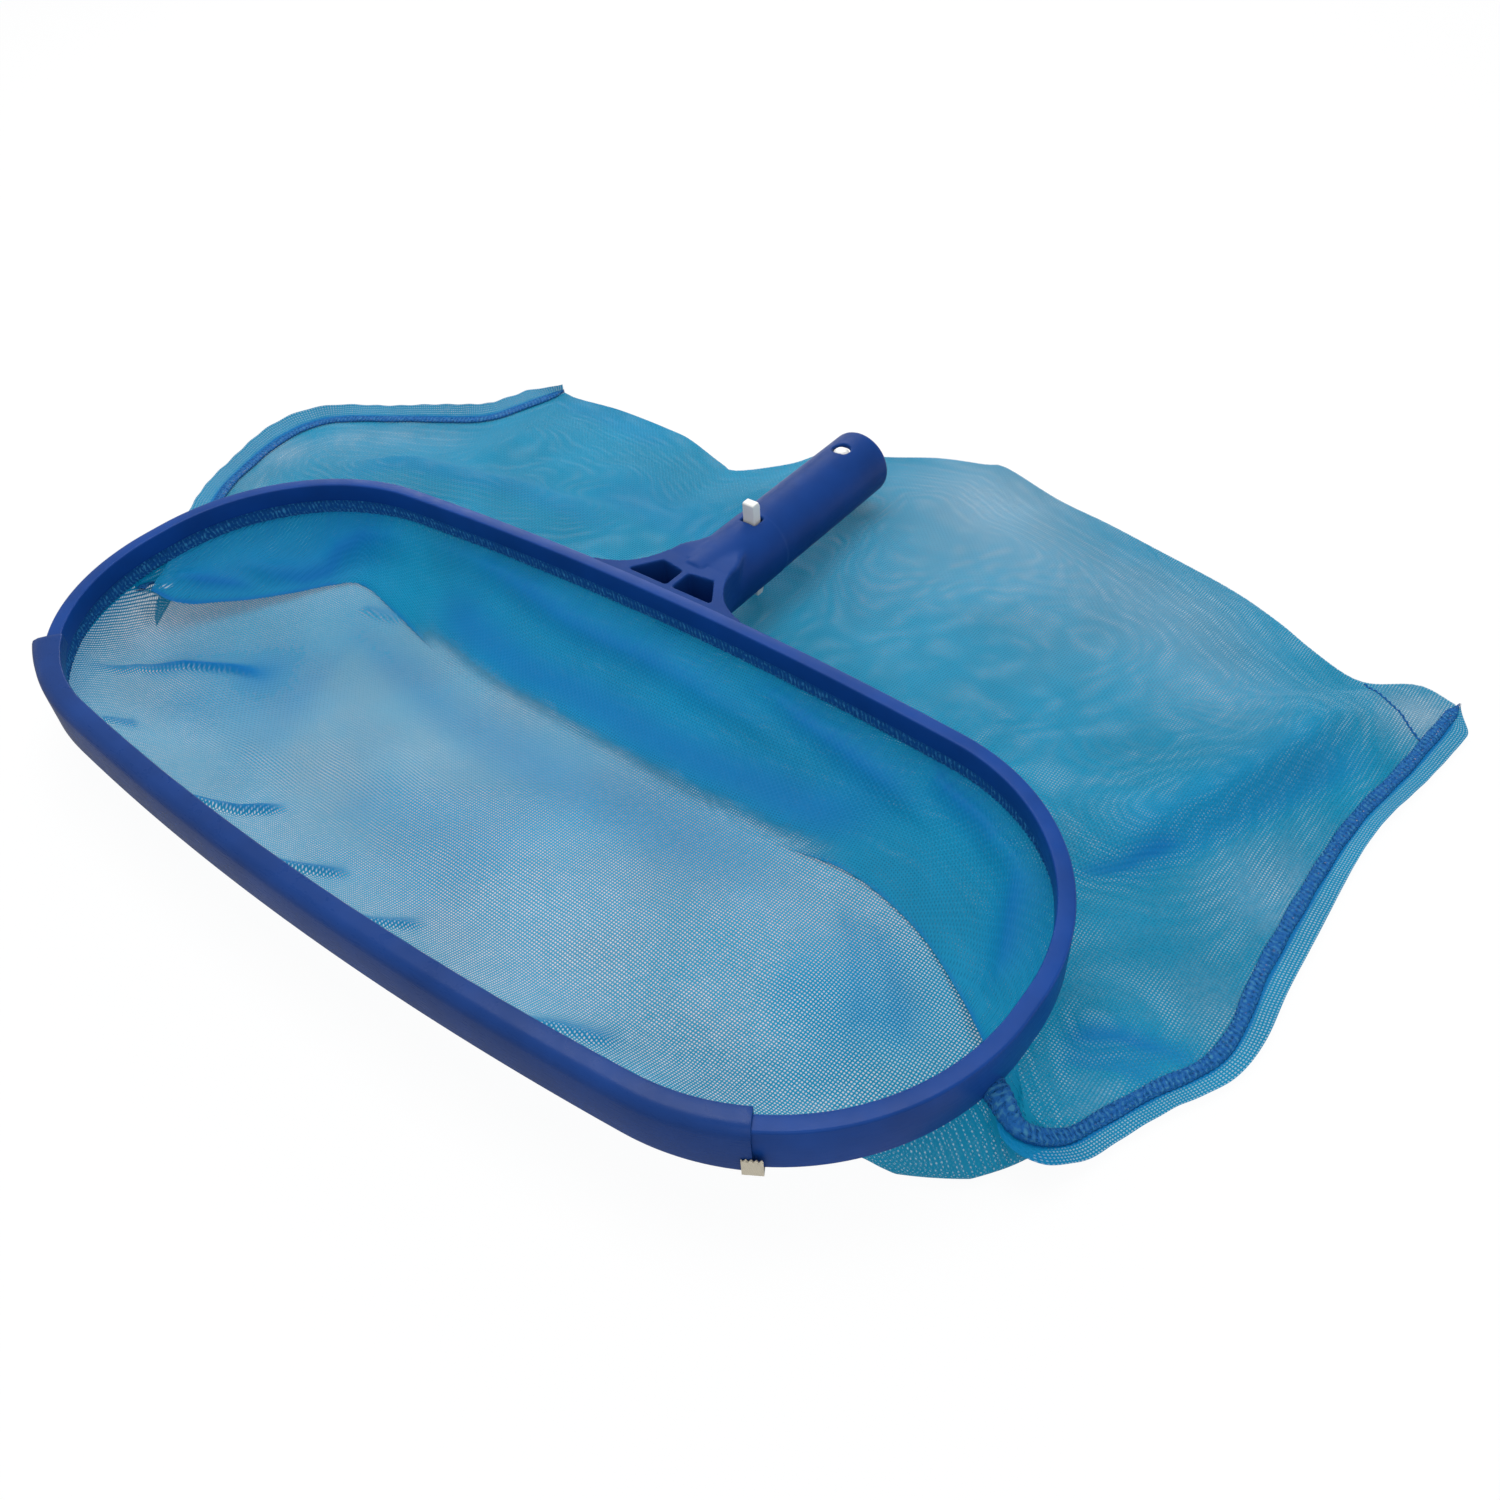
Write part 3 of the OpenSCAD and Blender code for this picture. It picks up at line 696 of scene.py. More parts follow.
def along_line(x, y, line):
    """Distance of points from a line in plan, signed to its left, and share along it."""
    line = plan(line)
    best = np.full(x.shape, 1e9)
    side = np.zeros_like(x)
    share = np.zeros_like(x)
    step = np.linalg.norm(np.diff(line, axis=0), axis=1)
    start = np.r_[0, np.cumsum(step)]
    for i in range(len(line) - 1):
        a, d = line[i], line[i + 1] - line[i]
        s = np.clip(((x - a[0]) * d[0] + (y - a[1]) * d[1]) / (d @ d), 0, 1)
        gx, gy = x - a[0] - s * d[0], y - a[1] - s * d[1]
        far = np.hypot(gx, gy)
        near = far < best
        best = np.where(near, far, best)
        side = np.where(near, np.sign(d[0] * gy - d[1] * gx), side)
        share = np.where(near, (start[i] + s * step[i]) / start[-1], share)
    return best * side, share


def ridge(x, y, line, width, height, lean=0.0, ends=0.25, widen=0.0):
    """A fold along a line, in the unit of its height: one flank is steeper by lean, it
    widens along the line, and it fades over a share of its length at both ends."""
    d, t = along_line(x, y, line)
    width = width * MM * (1 + lean * np.sign(d)) * (1 + widen * t)
    return height * np.exp(-(d / width) ** 2) * window(t / ends, (1 - t) / ends)


def ridges(x, y, folds, **values):
    """Sum of a table of ridges."""
    return sum(ridge(x, y, *fold, **values) for fold in folds)


def rumple(x, y, seed, height, sizes):
    """Soft irregular unevenness, from four seeded waves of each size in millimetres."""
    draw = np.random.default_rng(seed)
    total = np.zeros_like(x)
    for size in sizes:
        for _ in range(4):
            a = math.radians(draw.uniform(0, 360))
            pitch = size * draw.uniform(0.8, 1.25) * MM
            run = (x * math.cos(a) + y * math.sin(a)) * 2 * math.pi / pitch
            total += size / sizes[0] / 4 * MM * np.sin(run + draw.uniform(0, 6.28))
    return total * height


# Places in plan where the net lies opener or closer: x, y, radius, change of its cover
OPEN_PATCHES = [
    (42, 174, 42, 0.24), (75, 145, 46, 0.10), (105, 137, 36, 0.10), (150, 148, 34, 0.14),
    (188, 105, 32, 0.12), (150, 100, 40, 0.07), (250, 133, 17, 0.30), (238, 22, 22, 0.14),
    (238, -34, 15, 0.08), (226, -76, 11, 0.06), (-267, 13, 15, 0.18), (-222, 20, 22, 0.07),
    (-257, -13, 12, 0.14), (50, 95, 30, 0.04), (206, 58, 24, -0.05), (225, 84, 18, -0.04),
    (-266, 20, 13, 0.10), (-252, 42, 13, 0.18), (-232, 57, 13, 0.18), (-208, 68, 13, 0.13),
    (-130, 100, 50, -0.06), (-70, 70, 40, -0.04),
    (-200, -112, 12, 0.04), (-172, -84, 22, -0.10), (-210, -60, 18, 0.08), (60, 100, 40, 0.05),
    (-144, -79, 26, -0.06), (-120, -40, 30, -0.05), (168, -98, 26, -0.07),
    (-20, -112, 55, 0.03), (60, -142, 45, 0.03), (0, 40, 40, -0.03),
]


def openness(x, y):
    """How much of the net's cover is missing at places in plan."""
    total = np.zeros_like(x)
    for px, py, radius, amount in OPEN_PATCHES:
        far = np.hypot(x / MM - px, (y - HOOP_REAR) / MM - py)
        total += amount * np.exp(-(far / radius) ** 2)
    return total


# Folds are (points in plan, width, height, lean) and shades, which are painted shade, are (points,
# width, strength).
# Points, widths and heights are in millimetres, lean and strength are shares.
# Folds of the upper cloth behind the hoop
UPPER_FOLDS = [
    ([(176, -18), (193, 9), (207, 43), (222, 80), (230, 125)], 15, 9, 0.45),
    ([(205, -72), (222, -60), (240, -52), (250, -40)], 11, 6, 0.4),
    ([(-232, 8), (-191, 36), (-128, 44), (-60, 62)], 13, 6, -0.4),
    ([(20, 60), (60, 110), (110, 150)], 30, 3, 0.2),
    ([(100, 4), (130, 50), (150, 120)], 20, 2, 0.2),
    ([(-137, 27), (-124, 66), (-79, 100)], 14, 2.5, 0.2),
]
# Height of the fold above the floor in millimetres by its share of length
FOLD_HEIGHTS = [(0, 18), (0.015, 14), (0.035, 9.5), (0.08, 5), (0.13, 2.2), (0.19, 0.7),
                (0.86, 0.7), (0.91, 2.5), (0.95, 7), (0.98, 13), (1, 17)]
# How far the lower cloth leans out below the hem in millimetres by its share of length
FRONT_LEAN = [(0, -2), (0.05, 4), (0.16, 12), (0.5, 8), (0.80, 10), (0.85, 4), (0.88, -6),
              (0.91, -13), (0.96, -15), (1, -8)]
# Painted shade on the upper cloth
UPPER_SHADES = [
    ([(180, -16), (198, -1), (209, 20), (222, 51), (239, 92), (249, 110)], 10, 0.42),
    ([(180, -14), (194, -4), (208, 18)], 2.2, 0.5),
    ([(206, -70), (222, -60), (240, -55), (248, -52)], 3.2, 0.55),
    ([(208, -78), (222, -70), (240, -63)], 7, 0.4),
    ([(-120, 70), (-60, 66), (-10, 70), (20, 60)], 16, 0.22),
    ([(-225, 0), (-191, 30), (-128, 40), (-60, 50)], 8, 0.25),
    ([(-196, 130), (-150, 128), (-100, 122)], 12, 0.2),
]
# Folds of the upper cloth where it hangs inside the hoop
LEG_FOLDS = [
    ([(-146, -14), (-98, -12), (-37, -18), (14, -19), (56, -22), (92, -26)], 6, 3.2, 0.4),
    ([(40, -7), (83, -17), (122, -23), (142, -27)], 5, 3.0, 0.4),
    ([(119, -1), (132, -15), (152, -22), (170, -34)], 4, 3.5, 0.3),
    ([(160, -22), (172, -36), (182, -60), (186, -78)], 5, 3.0, 0.3),
    ([(-192, -74), (-183, -65), (-175, -60), (-167, -52), (-162, -42), (-162, -33),
      (-157, -25), (-145, -19), (-126, -16)], 5, 4.0, 0.3),
    ([(-198, -95), (-191, -85), (-183, -75), (-174, -67)], 3, 2.0, 0.3),
]
# Lines in plan that are both a crease and a line of painted shade
FRONT_TUCK = [(-178, -149), (-181, -140), (-180, -128), (-168, -115), (-148, -105), (-130, -99)]
FRONT_NICK = [(-150, -161), (-148, -155), (-144, -149)]
FOLD_NICK = [(-138, -48), (-126, -46), (-112, -42)]
FRONT_PULL = [(70, -168), (84, -156), (104, -148)]
# Sharp creases of the lower cloth, the painted shade along its creases and folds, and its wide
# hollows
CREASES = [
    (FRONT_TUCK, 2.0, 2.6, 0.3),
    (FRONT_NICK, 2.2, 1.8, 0.3),
    ([(-92, -172), (-81, -163), (-72, -156), (-64, -141)], 2.4, 3.8, 0.3),
    ([(-50, -176), (-34, -166), (-17, -150)], 2.4, 3.2, 0.3),
    ([(-6, -176), (9, -163), (20, -150)], 2.6, 2.4, 0.3),
    (FOLD_NICK, 2.6, 1.6, 0.2),
    (FRONT_PULL, 2.8, 2.2, 0.3),
]
CREASE_SHADES = [
    (FRONT_TUCK, 0.9, 0.6),
    ([(-180, -130), (-165, -112), (-144, -102), (-120, -96)], 5.0, 0.3),
    ([(-148, -108), (-132, -100), (-104, -90)], 9.0, 0.2),
    (FRONT_NICK, 1.1, 0.45),
    ([(-90, -170), (-81, -162), (-72, -156), (-64, -141)], 1.0, 0.75),
    ([(-48, -174), (-34, -165), (-17, -150)], 1.1, 0.6),
    ([(-4, -174), (9, -163), (20, -150)], 1.1, 0.45),
    (FOLD_NICK, 1.8, 0.3),
    (FRONT_PULL, 1.3, 0.4),
    ([(-162, -134), (-120, -118), (-84, -112)], 9.0, 0.16),
    ([(-150, -52), (-112, -62), (-55, -73), (10, -75), (75, -71), (120, -64)], 6.5, 0.26),
    ([(-60, -128), (-10, -116), (30, -120)], 10.0, 0.12),
    ([(120, -104), (140, -96), (170, -104)], 9.0, 0.16),
    ([(132, -62), (152, -76), (176, -104)], 2.2, 0.22),
    ([(122, -62), (140, -78), (160, -106)], 2.2, 0.18),
]
SOFT_HOLLOWS = [
    ([(-120, -140), (-80, -110), (-30, -104)], 16, 1.6, 0.0),
    ([(-20, -120), (40, -108), (100, -112)], 18, 1.5, 0.0),
    ([(60, -90), (110, -86), (150, -100)], 14, 1.4, 0.0),
]


def bag_height(x, y):
    """How high the upper cloth puffs above the floor behind the hoop: 8 mm, less in the
    trough under the socket, with its folds and its unevenness."""
    rise = 8 * MM * smoothstep((y - HOOP_REAR + 0.03) / 0.05)
    trough = np.exp(-(x / 0.03) ** 2) * smoothstep((0.13 - y + HOOP_REAR) / 0.06)
    return (rise * (1 - 0.75 * trough) + ridges(x, y, UPPER_FOLDS) * MM
            + rumple(x, y, 11, 0.9, (110, 64, 40)))


def hem_level(cloth, above=0.0006):
    """Level at which a cloth leaves the hem, above the hem's foot."""
    return HOOP_TOP - cloth.hem_foot + above


def gathered(u):
    """How far the cloth is drawn up at the two ends of its edge."""
    return 1 - window(u / 0.05, (1 - u) / 0.04)


# ---------------- pieces

# Steps of the sweep round a corner and along a bowed edge
CORNER, EDGE = 44, 40
# Bands of fading weight where the yoke runs out on the socket, and how often its
# middle is smoothed
BANDS, BLEND_PASSES = 10, 60
# Parts of the handle closer than this to the hoop's wall or to the rim's level touch it
TOUCH = 0.0003
# How far below the hem the ends of the cloths and of the side seams start, in metres
END_DROP = 0.004
# Columns and rows of the two cloths, and the share of the upper one's rows that hang
LOWER_GRID, UPPER_GRID, HANGING = (300, 170), (300, 230), 0.30


class SKIMMER_OT_hoop(bpy.types.Operator):
    """Sweep the hoop's channel section round its outline"""
    bl_idname = "skimmer.hoop"
    bl_label = "Moulded hoop"

    def execute(self, context):
        hoop = context.scene.skimmer_hoop
        arcs = hoop_arcs(hoop)
        wall, rim, inner = hoop.outer_wall, hoop.rim, hoop.rim - hoop.inner_wall
        small, root = 0.0004, 0.00025
        obj = section("hoop_moulding", [
            (0, -hoop.height, small), (0, 0, hoop.rounding), (rim, 0, 0.0007),
            (rim, -hoop.inner_drop, small), (inner, -hoop.inner_drop, small),
            (inner, -hoop.rim_thick, root), (wall, -hoop.rim_thick, root),
            (wall, -hoop.height, small)], arcs[1][:4])
        gap = arcs[3][1] - arcs[2][1]
        for k, steps, straight in ((1, EDGE, 0), (2, CORNER, gap), (3, CORNER, 0),
                                   (4, EDGE, 0), (5, CORNER, -gap), (0, CORNER, 0)):
            sweep_arc(arcs[k], steps)
            if straight:
                bpy.ops.mesh.extrude_region_move(
                    TRANSFORM_OT_translate={"value": (0, straight, 0)})
        # the section that the sweep started from is left inside, where the ends meet
        mesh = bmesh.from_edit_mesh(obj.data)
        bmesh.ops.delete(mesh, geom=[f for f in mesh.faces if len(f.verts) > 4],
                         context="FACES_ONLY")
        bmesh.update_edit_mesh(obj.data)
        close_up(obj, gap=3 * MERGE)
        bpy.ops.object.shade_smooth_by_angle(angle=SHARP)
        finish_piece(obj, plastic("Hoop plastic", context.scene.skimmer_colours.plastic,
                                  0.34, 0.12),
                     replaced=["hoop_frame"])
        return {"FINISHED"}


class SKIMMER_OT_lip(bpy.types.Operator):
    """Sweep the clipped lip along the hoop's front and spring its left end out"""
    bl_idname = "skimmer.lip"
    bl_label = "Front lip"

    def execute(self, context):
        hoop, lip = context.scene.skimmer_hoop, context.scene.skimmer_lip
        arcs = hoop_arcs(hoop)
        left = arcs[0][:3] + (arcs[0][3] + lip.left_angle, arcs[0][4])
        right = arcs[2][:3] + (arcs[2][3], arcs[2][4] - lip.right_angle)
        inner, outer, top, small = hoop.rim + lip.fit, -lip.fit, lip.fit + lip.thick, 0.0003
        obj = section("front_lip_strip", [
            (inner + lip.thick, -lip.leg, small), (inner, -lip.leg, small),
            (inner, lip.fit, 0.0002), (outer, lip.fit, 0.002), (outer, -hoop.height, small),
            (outer - lip.thick, -hoop.height, small), (outer - lip.thick, top, lip.shoulder),
            (inner + lip.thick, top, 0.0005)], left[:4])
        for arc, steps in ((left, CORNER // 2), (arcs[1], CORNER), (right, EDGE // 2)):
            sweep_arc(arc, steps)
        bpy.ops.mesh.select_all(action="SELECT")
        bpy.ops.mesh.normals_make_consistent(inside=False)
        bpy.ops.object.mode_set(mode="OBJECT")
        self.spring_out(obj, lip, left)
        apply(obj, "BEVEL", width=small, segments=2, limit_method="ANGLE",
              angle_limit=math.radians(60))
        bpy.ops.object.shade_smooth_by_angle(angle=SHARP)
        finish_piece(obj, plastic("Lip plastic", context.scene.skimmer_colours.lip, 0.30, 0.10),
                     replaced=["front_lip"])
        return {"FINISHED"}

    @staticmethod
    def spring_out(obj, lip, arc):
        """Pushes the outer wall away from the hoop towards its loose end."""
        x, y, radius, start, end = arc
        co = coords(obj)
        dx, dy = co[:, 0] - x, co[:, 1] - y
        angle = np.mod(np.arctan2(dy, dx), 2 * math.pi)
        free = np.clip(1 - (angle - start) / (end - start), 0, 1) ** 2
        outside = smoothstep((np.hypot(dx, dy) - radius + lip.shoulder) / lip.shoulder)
        push = lip.spring * free * outside * (co[:, 0] < x)
        co[:, 0] += push * np.cos(angle)
        co[:, 1] += push * np.sin(angle)
        set_coords(obj, co)


class SKIMMER_OT_handle(bpy.types.Operator):
    """Blend the yoke and the pole socket into one moulding with rounded edges"""
    bl_idname = "skimmer.handle"
    bl_label = "Yoke and socket"

    def execute(self, context):
        moulding = context.scene.skimmer_moulding
        run = moulding.blend
        yoke = cad_copy("handle_yoke", "handle_moulding")
        co = coords(yoke)
        rear = hoop_half(context.scene.skimmer_hoop, 0, "rear")
        edge = np.interp(co[:, 0], rear.p[:, 0], rear.p[:, 1])
        co[co[:, 1] < edge + TOUCH, 1] -= moulding.tuck
        set_coords(yoke, co)
        socket = cad_copy("pole_socket", "handle_socket")
        deselect()
        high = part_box("handle_yoke")[1]
        width = 2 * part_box("pole_socket")[1].x
        # a wedge fills the corner between the yoke's top and the socket
        bpy.ops.mesh.primitive_cube_add(size=1, location=(0, high.y + run / 2, high.z / 2),
                                        scale=(width, run, high.z))
        wedge = bpy.context.object
        keep_origin(wedge)
        bpy.ops.object.mode_set(mode="EDIT")
        pick(wedge, lambda v: v.y > high.y + run / 2)
        bpy.ops.transform.resize(value=(0.5, 1, 0.86), center_override=(0, high.y + run, 0))
        bpy.ops.object.mode_set(mode="OBJECT")
        activate(yoke)
        wedge.select_set(True)
        socket.select_set(True)
        bpy.ops.object.join()
        obj = bpy.context.object
        rebuild(obj, moulding.handle_voxel)
        near = obj.vertex_groups.new(name="Blend")
        far = np.abs(coords(obj)[:, 1] - high.y - run * 0.4) / run
        for band in range(BANDS):
            inside = np.floor(far * (BANDS - 1)) == band
            near.add(np.nonzero(inside)[0].tolist(), 1 - band / BANDS, "REPLACE")
        relax(obj, BLEND_PASSES, vertex_group="Blend")
        relax(obj, 3)
        co = coords(obj)
        level = (np.abs(co[:, 2] - HOOP_TOP) < TOUCH) * (co[:, 1] < HOOP_REAR + 0.02)
        co[level, 2] = HOOP_TOP - 0.00003
        set_coords(obj, co)
        # painted shade: the handle is the hoop's plastic made darker, standing in for the weaker
        # light that falls on it
        colour = [c * 0.78 for c in context.scene.skimmer_colours.plastic]
        finish_piece(obj, plastic("Handle plastic", colour, 0.46, 0.12, shine=0.10),
                     replaced=["handle_yoke", "pole_socket"])
        return {"FINISHED"}


class SKIMMER_OT_clip(bpy.types.Operator):
    """Round the two arms of the lock clip and finish its bend"""
    bl_idname = "skimmer.clip"
    bl_label = "Lock clip"

    def execute(self, context):
        white = plastic("Clip plastic", context.scene.skimmer_colours.white, 0.42, 0.12,
                        rubbed=0.85, shine=0.3)
        for side in ("upper", "lower"):
            obj = cad_copy(f"clip_{side}_arm", f"{side}_arm_moulding")
            rebuild(obj, context.scene.skimmer_moulding.clip_voxel)
            relax(obj, 2)
            finish_piece(obj, white, body=f"{side}_arm",
                         replaced=[f"clip_{side}_arm"])
        paint(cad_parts["clip_bend"], white)
        return {"FINISHED"}


class SKIMMER_OT_hem(bpy.types.Operator):
    """Sew the overlocked hem round the mouth of the bag, with its cord and the cord's end"""
    bl_idname = "skimmer.hem"
    bl_label = "Hem and cord"

    def execute(self, context):
        cloth, colours = context.scene.skimmer_cloth, context.scene.skimmer_colours
        ring = ring_path(context.scene.skimmer_hoop)
        middle = (cloth.hem_top + cloth.hem_foot) / 2
        reach = (cloth.hem_foot - cloth.hem_top) / 2

        def place(u, v):
            turn = 2 * math.pi * v
            down = soft_power(np.sin(turn), 0.6)
            phase = 2 * math.pi * (u * ring.length / cloth.stitch) + 2.2 * down
            thick = 0.00062 + 0.00014 * np.sin(phase) + 0.00008 * np.sin(phase * 0.37 + 1)
            sway = 0.00025 * np.sin(u * 61) + 0.00018 * np.sin(u * 143 + 1)
            out = cloth.channel + soft_power(np.cos(turn), 0.5) * thick
            z = HOOP_TOP - middle - down * (reach + 0.00025 * np.sin(phase)) + sway
            return np.c_[ring.beside(u, out), z]

        obj = tube_grid("hem_band", int(ring.length / cloth.stitch * 4), 18, place,
                        lambda u, v: np.c_[u * ring.length, v * 4 * reach])
        finish_piece(obj, stitch_material("Hem overlock", colours.seam, colours.stitch_light,
                                          cloth),
                     replaced=["net_hem"])
        cream = cord_material(colours.cord)
        paint(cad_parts["hem_cord"], cream)
        tail = cad_copy("hem_cord_tail", "hem_cord_end")
        rebuild(tail, context.scene.skimmer_moulding.cord_voxel)
        relax(tail, 3)
        co = coords(tail)
        below = co[:, 2].max() - co[:, 2]
        co[:, 2] += 0.0005 * np.sin(co[:, 0] * 5200) * smoothstep(1 - below / 0.0015)
        set_coords(tail, co)
        finish_piece(tail, cream, replaced=["hem_cord_tail"])
        return {"FINISHED"}


class SKIMMER_OT_lower_net(bpy.types.Operator):
    """Hang the lower cloth from the hem's front and lay it back to the rear fold"""
    bl_idname = "skimmer.lower_net"
    bl_label = "Lower net"

    def execute(self, context):
        cloth, colours = context.scene.skimmer_cloth, context.scene.skimmer_colours
        edge = hoop_half(context.scene.skimmer_hoop, cloth.channel, "front")
        outline, _, _ = bag_outline()
        hem, floor = hem_level(cloth), LOWER_FLOOR

        def place(u, v):
            a, b = edge.at(u), outline.at(u)
            chord = np.linalg.norm(b - a, axis=1)
            lean = np.interp(u, *np.array(FRONT_LEAN).T) * MM
            tight = smoothstep((0.002 - lean) / 0.008)
            s = (1.25 * v ** 1.35) / (1 + 0.25 * v)
            far = s * chord
            out = lean * smoothstep(far / (0.045 - 0.030 * tight)) * (1 - s) ** 1.2
            p = a + (b - a) * s[:, None] + edge.normal(u) * out[:, None]
            reach = np.minimum(0.036 - 0.014 * tight, chord * 0.6) + 1e-6
            fall = np.clip(1 - far / reach, 0, 1) ** 2
            low = floor + (hem - END_DROP - floor) * gathered(u) * (1 - s) ** 0.5
            x, y = p.T
            uneven = (ridges(x, y, CREASES + SOFT_HOLLOWS) * MM
                      + np.abs(rumple(x, y, 5, 0.5, (90, 50))))
            return np.c_[p, low + (hem - low) * fall
                         + uneven * window(far / 0.008, (1 - s) * chord / 0.03)]

        def uv(u, v):
            p = place(u, v)
            return p[:, :2] - edge.normal(u) * (0.8 * np.maximum(0, p[:, 2] - floor))[:, None]

        def marks(u, v, points):
            x, y, z = points.T
            # painted shade, which also closes the weave: darker where the cloth rises towards the
            # hem and along its creases and folds
            share = 0.25 * smoothstep((z - floor - 0.010) / 0.014)
            share += ridges(x, y, CREASE_SHADES, lean=0.2, ends=0.22, widen=2.2)
            return {"layers_and_shade": share, "thin": openness(x, y)}

        obj = grid("lower_net", *LOWER_GRID, place, uv, marks)
        finish_piece(obj, net_material("Lower net cloth", colours.thread, cloth),
                     replaced=["net_lower_panel"])
        return {"FINISHED"}


class SKIMMER_OT_upper_net(bpy.types.Operator):
    """Hang the upper cloth from the hem's rear, fold it back and lay it over the lower one"""
    bl_idname = "skimmer.upper_net"
    bl_label = "Upper net"

    def execute(self, context):
        cloth, colours = context.scene.skimmer_cloth, context.scene.skimmer_colours
        edge = hoop_half(context.scene.skimmer_hoop, cloth.channel, "rear")
        fold = Path(smooth_path(FOLD_LINE))
        outline, _, _ = bag_outline()
        hem, floor = hem_level(cloth), UPPER_FLOOR
        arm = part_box("clip_lower_arm")[0]

        def hanging(u, a, f, s, fold_z):
            """The leg that hangs from the hem down to the fold."""
            p = a + (f - a) * s[:, None]
            x, y = p.T
            span = np.linalg.norm(f - a, axis=1)
            left = (1 - s) * span
            sag = 0.22 * window(u / 0.16, (1 - u) / 0.10)
            uneven = (ridges(x, y, LEG_FOLDS, ends=0.2) * MM
                      + 0.0007 * np.sin(x * 75 + 4 * s) + 0.0003 * np.sin(x * 213 + 9 * s))
            z = (hem + (fold_z - hem) * (s + sag * np.sin(math.pi * s))
                 + uneven * window(s * span / 0.008, left / 0.014)
                 + 0.0004 * smoothstep(left / 0.003))
            return np.c_[p, np.maximum(z, floor + 0.0003)]

        def lying(u, f, b, r, fold_z):
            """The part that lies from the fold back to the bag's edge."""
            p = f + (b - f) * r[:, None]
            x, y = p.T
            chord = np.linalg.norm(b - f, axis=1)
            lift = bag_height(x, y) * window((1 - r) * chord / 0.06, r * chord / 0.05)
            end_z = LOWER_FLOOR + (hem - END_DROP - floor) * gathered(u) * (1 - r) ** 0.5
            settle = smoothstep(r * chord / 0.03)
            z = (fold_z + 0.0001) * (1 - settle) + (end_z + 0.0003) * settle + lift
            # pressed down under the clip's lower arm, which needs room to spring out
            under = np.interp(y, [arm.y + 0.045, arm.y + 0.085],
                              [arm.z - 0.0015, arm.z + 0.0040])
            press = window((0.024 - np.abs(x)) / 0.016, (0.130 + arm.y - y) / 0.02)
            return np.c_[p, z - press * np.maximum(0, z - under)]

        def place(u, v):
            a, f, b = edge.at(u), fold.at(u), outline.at(u)
            fold_z = floor + np.interp(u, *np.array(FOLD_HEIGHTS).T) * MM
            s = np.clip(v / HANGING, 0, 1)
            r = np.clip((v - HANGING) / (1 - HANGING), 0, 1) ** 1.25
            p = np.where((v < HANGING)[:, None], hanging(u, a, f, s, fold_z),
                         lying(u, f, b, r, fold_z))
            p[:, 2] = np.maximum(p[:, 2], floor - 0.0003)
            return p

        def uv(u, v):
            p = place(u, v)
            f = fold.at(u)
            run = np.linalg.norm(np.c_[p[:, :2] - f, p[:, 2] - floor], axis=1)
            return np.c_[p[:, 0], np.where(v < HANGING, f[:, 1] - run, p[:, 1])]

        def marks(u, v, points):
            x, y, z = points.T
            leg = v < HANGING
            fold_x = fold.at(u)[:, 0]
            behind, _ = along_line(x, y, FOLD_LINE)
            behind = np.where(leg, np.abs(behind), np.maximum(behind, 0))
            soft = window((fold_x + 0.112) / 0.03, (0.118 - fold_x) / 0.03)
            fade = 1 - smoothstep(behind / cloth.fade)
            band = soft * np.exp(-((behind / cloth.fade - 1.35) / 0.75) ** 2)
            line = (1 - soft) * np.exp(-(behind / 0.0012) ** 2)
            top = smoothstep((z - hem + 0.012) / 0.012)
            pleats = smoothstep(np.sin(u * 1100 + 3 * np.sin(u * 90)) * 0.5 + 0.1)
            # painted shade, which also closes the weave: the hanging leg is darker overall, in a
            # band behind the soft fold, along a thin line at the sharp fold, in the pleats under
            # the hem and towards its left end
            hung = (0.12 + 0.60 * band + 0.8 * line + 0.25 * top * pleats
                    + 0.22 * smoothstep((-0.125 - x) / 0.045))
            # each fold gets a wide, soft painted shade and a thin one
            for wide, strength in ((1.7, 0.34), (0.5, 0.30)):
                hung += ridges(x, y, [(path, width * wide, strength, lean)
                                      for path, width, _, lean in LEG_FOLDS], ends=0.4)
            # painted shade on the lying part: a band behind the soft fold and the listed shades
            laid = 0.20 * band + ridges(x, y, UPPER_SHADES, lean=0.5)
            return {"layers_and_shade": np.clip(np.where(leg, hung, laid), 0, 1),
                    "thin": openness(x, y) + soft * fade}

        obj = grid("upper_net", *UPPER_GRID, place, uv, marks)
        finish_piece(obj, net_material("Upper net cloth", colours.thread, cloth, turn=0.035,
                                       rings=0.05),
                     replaced=["net_upper_panel"])
        return {"FINISHED"}


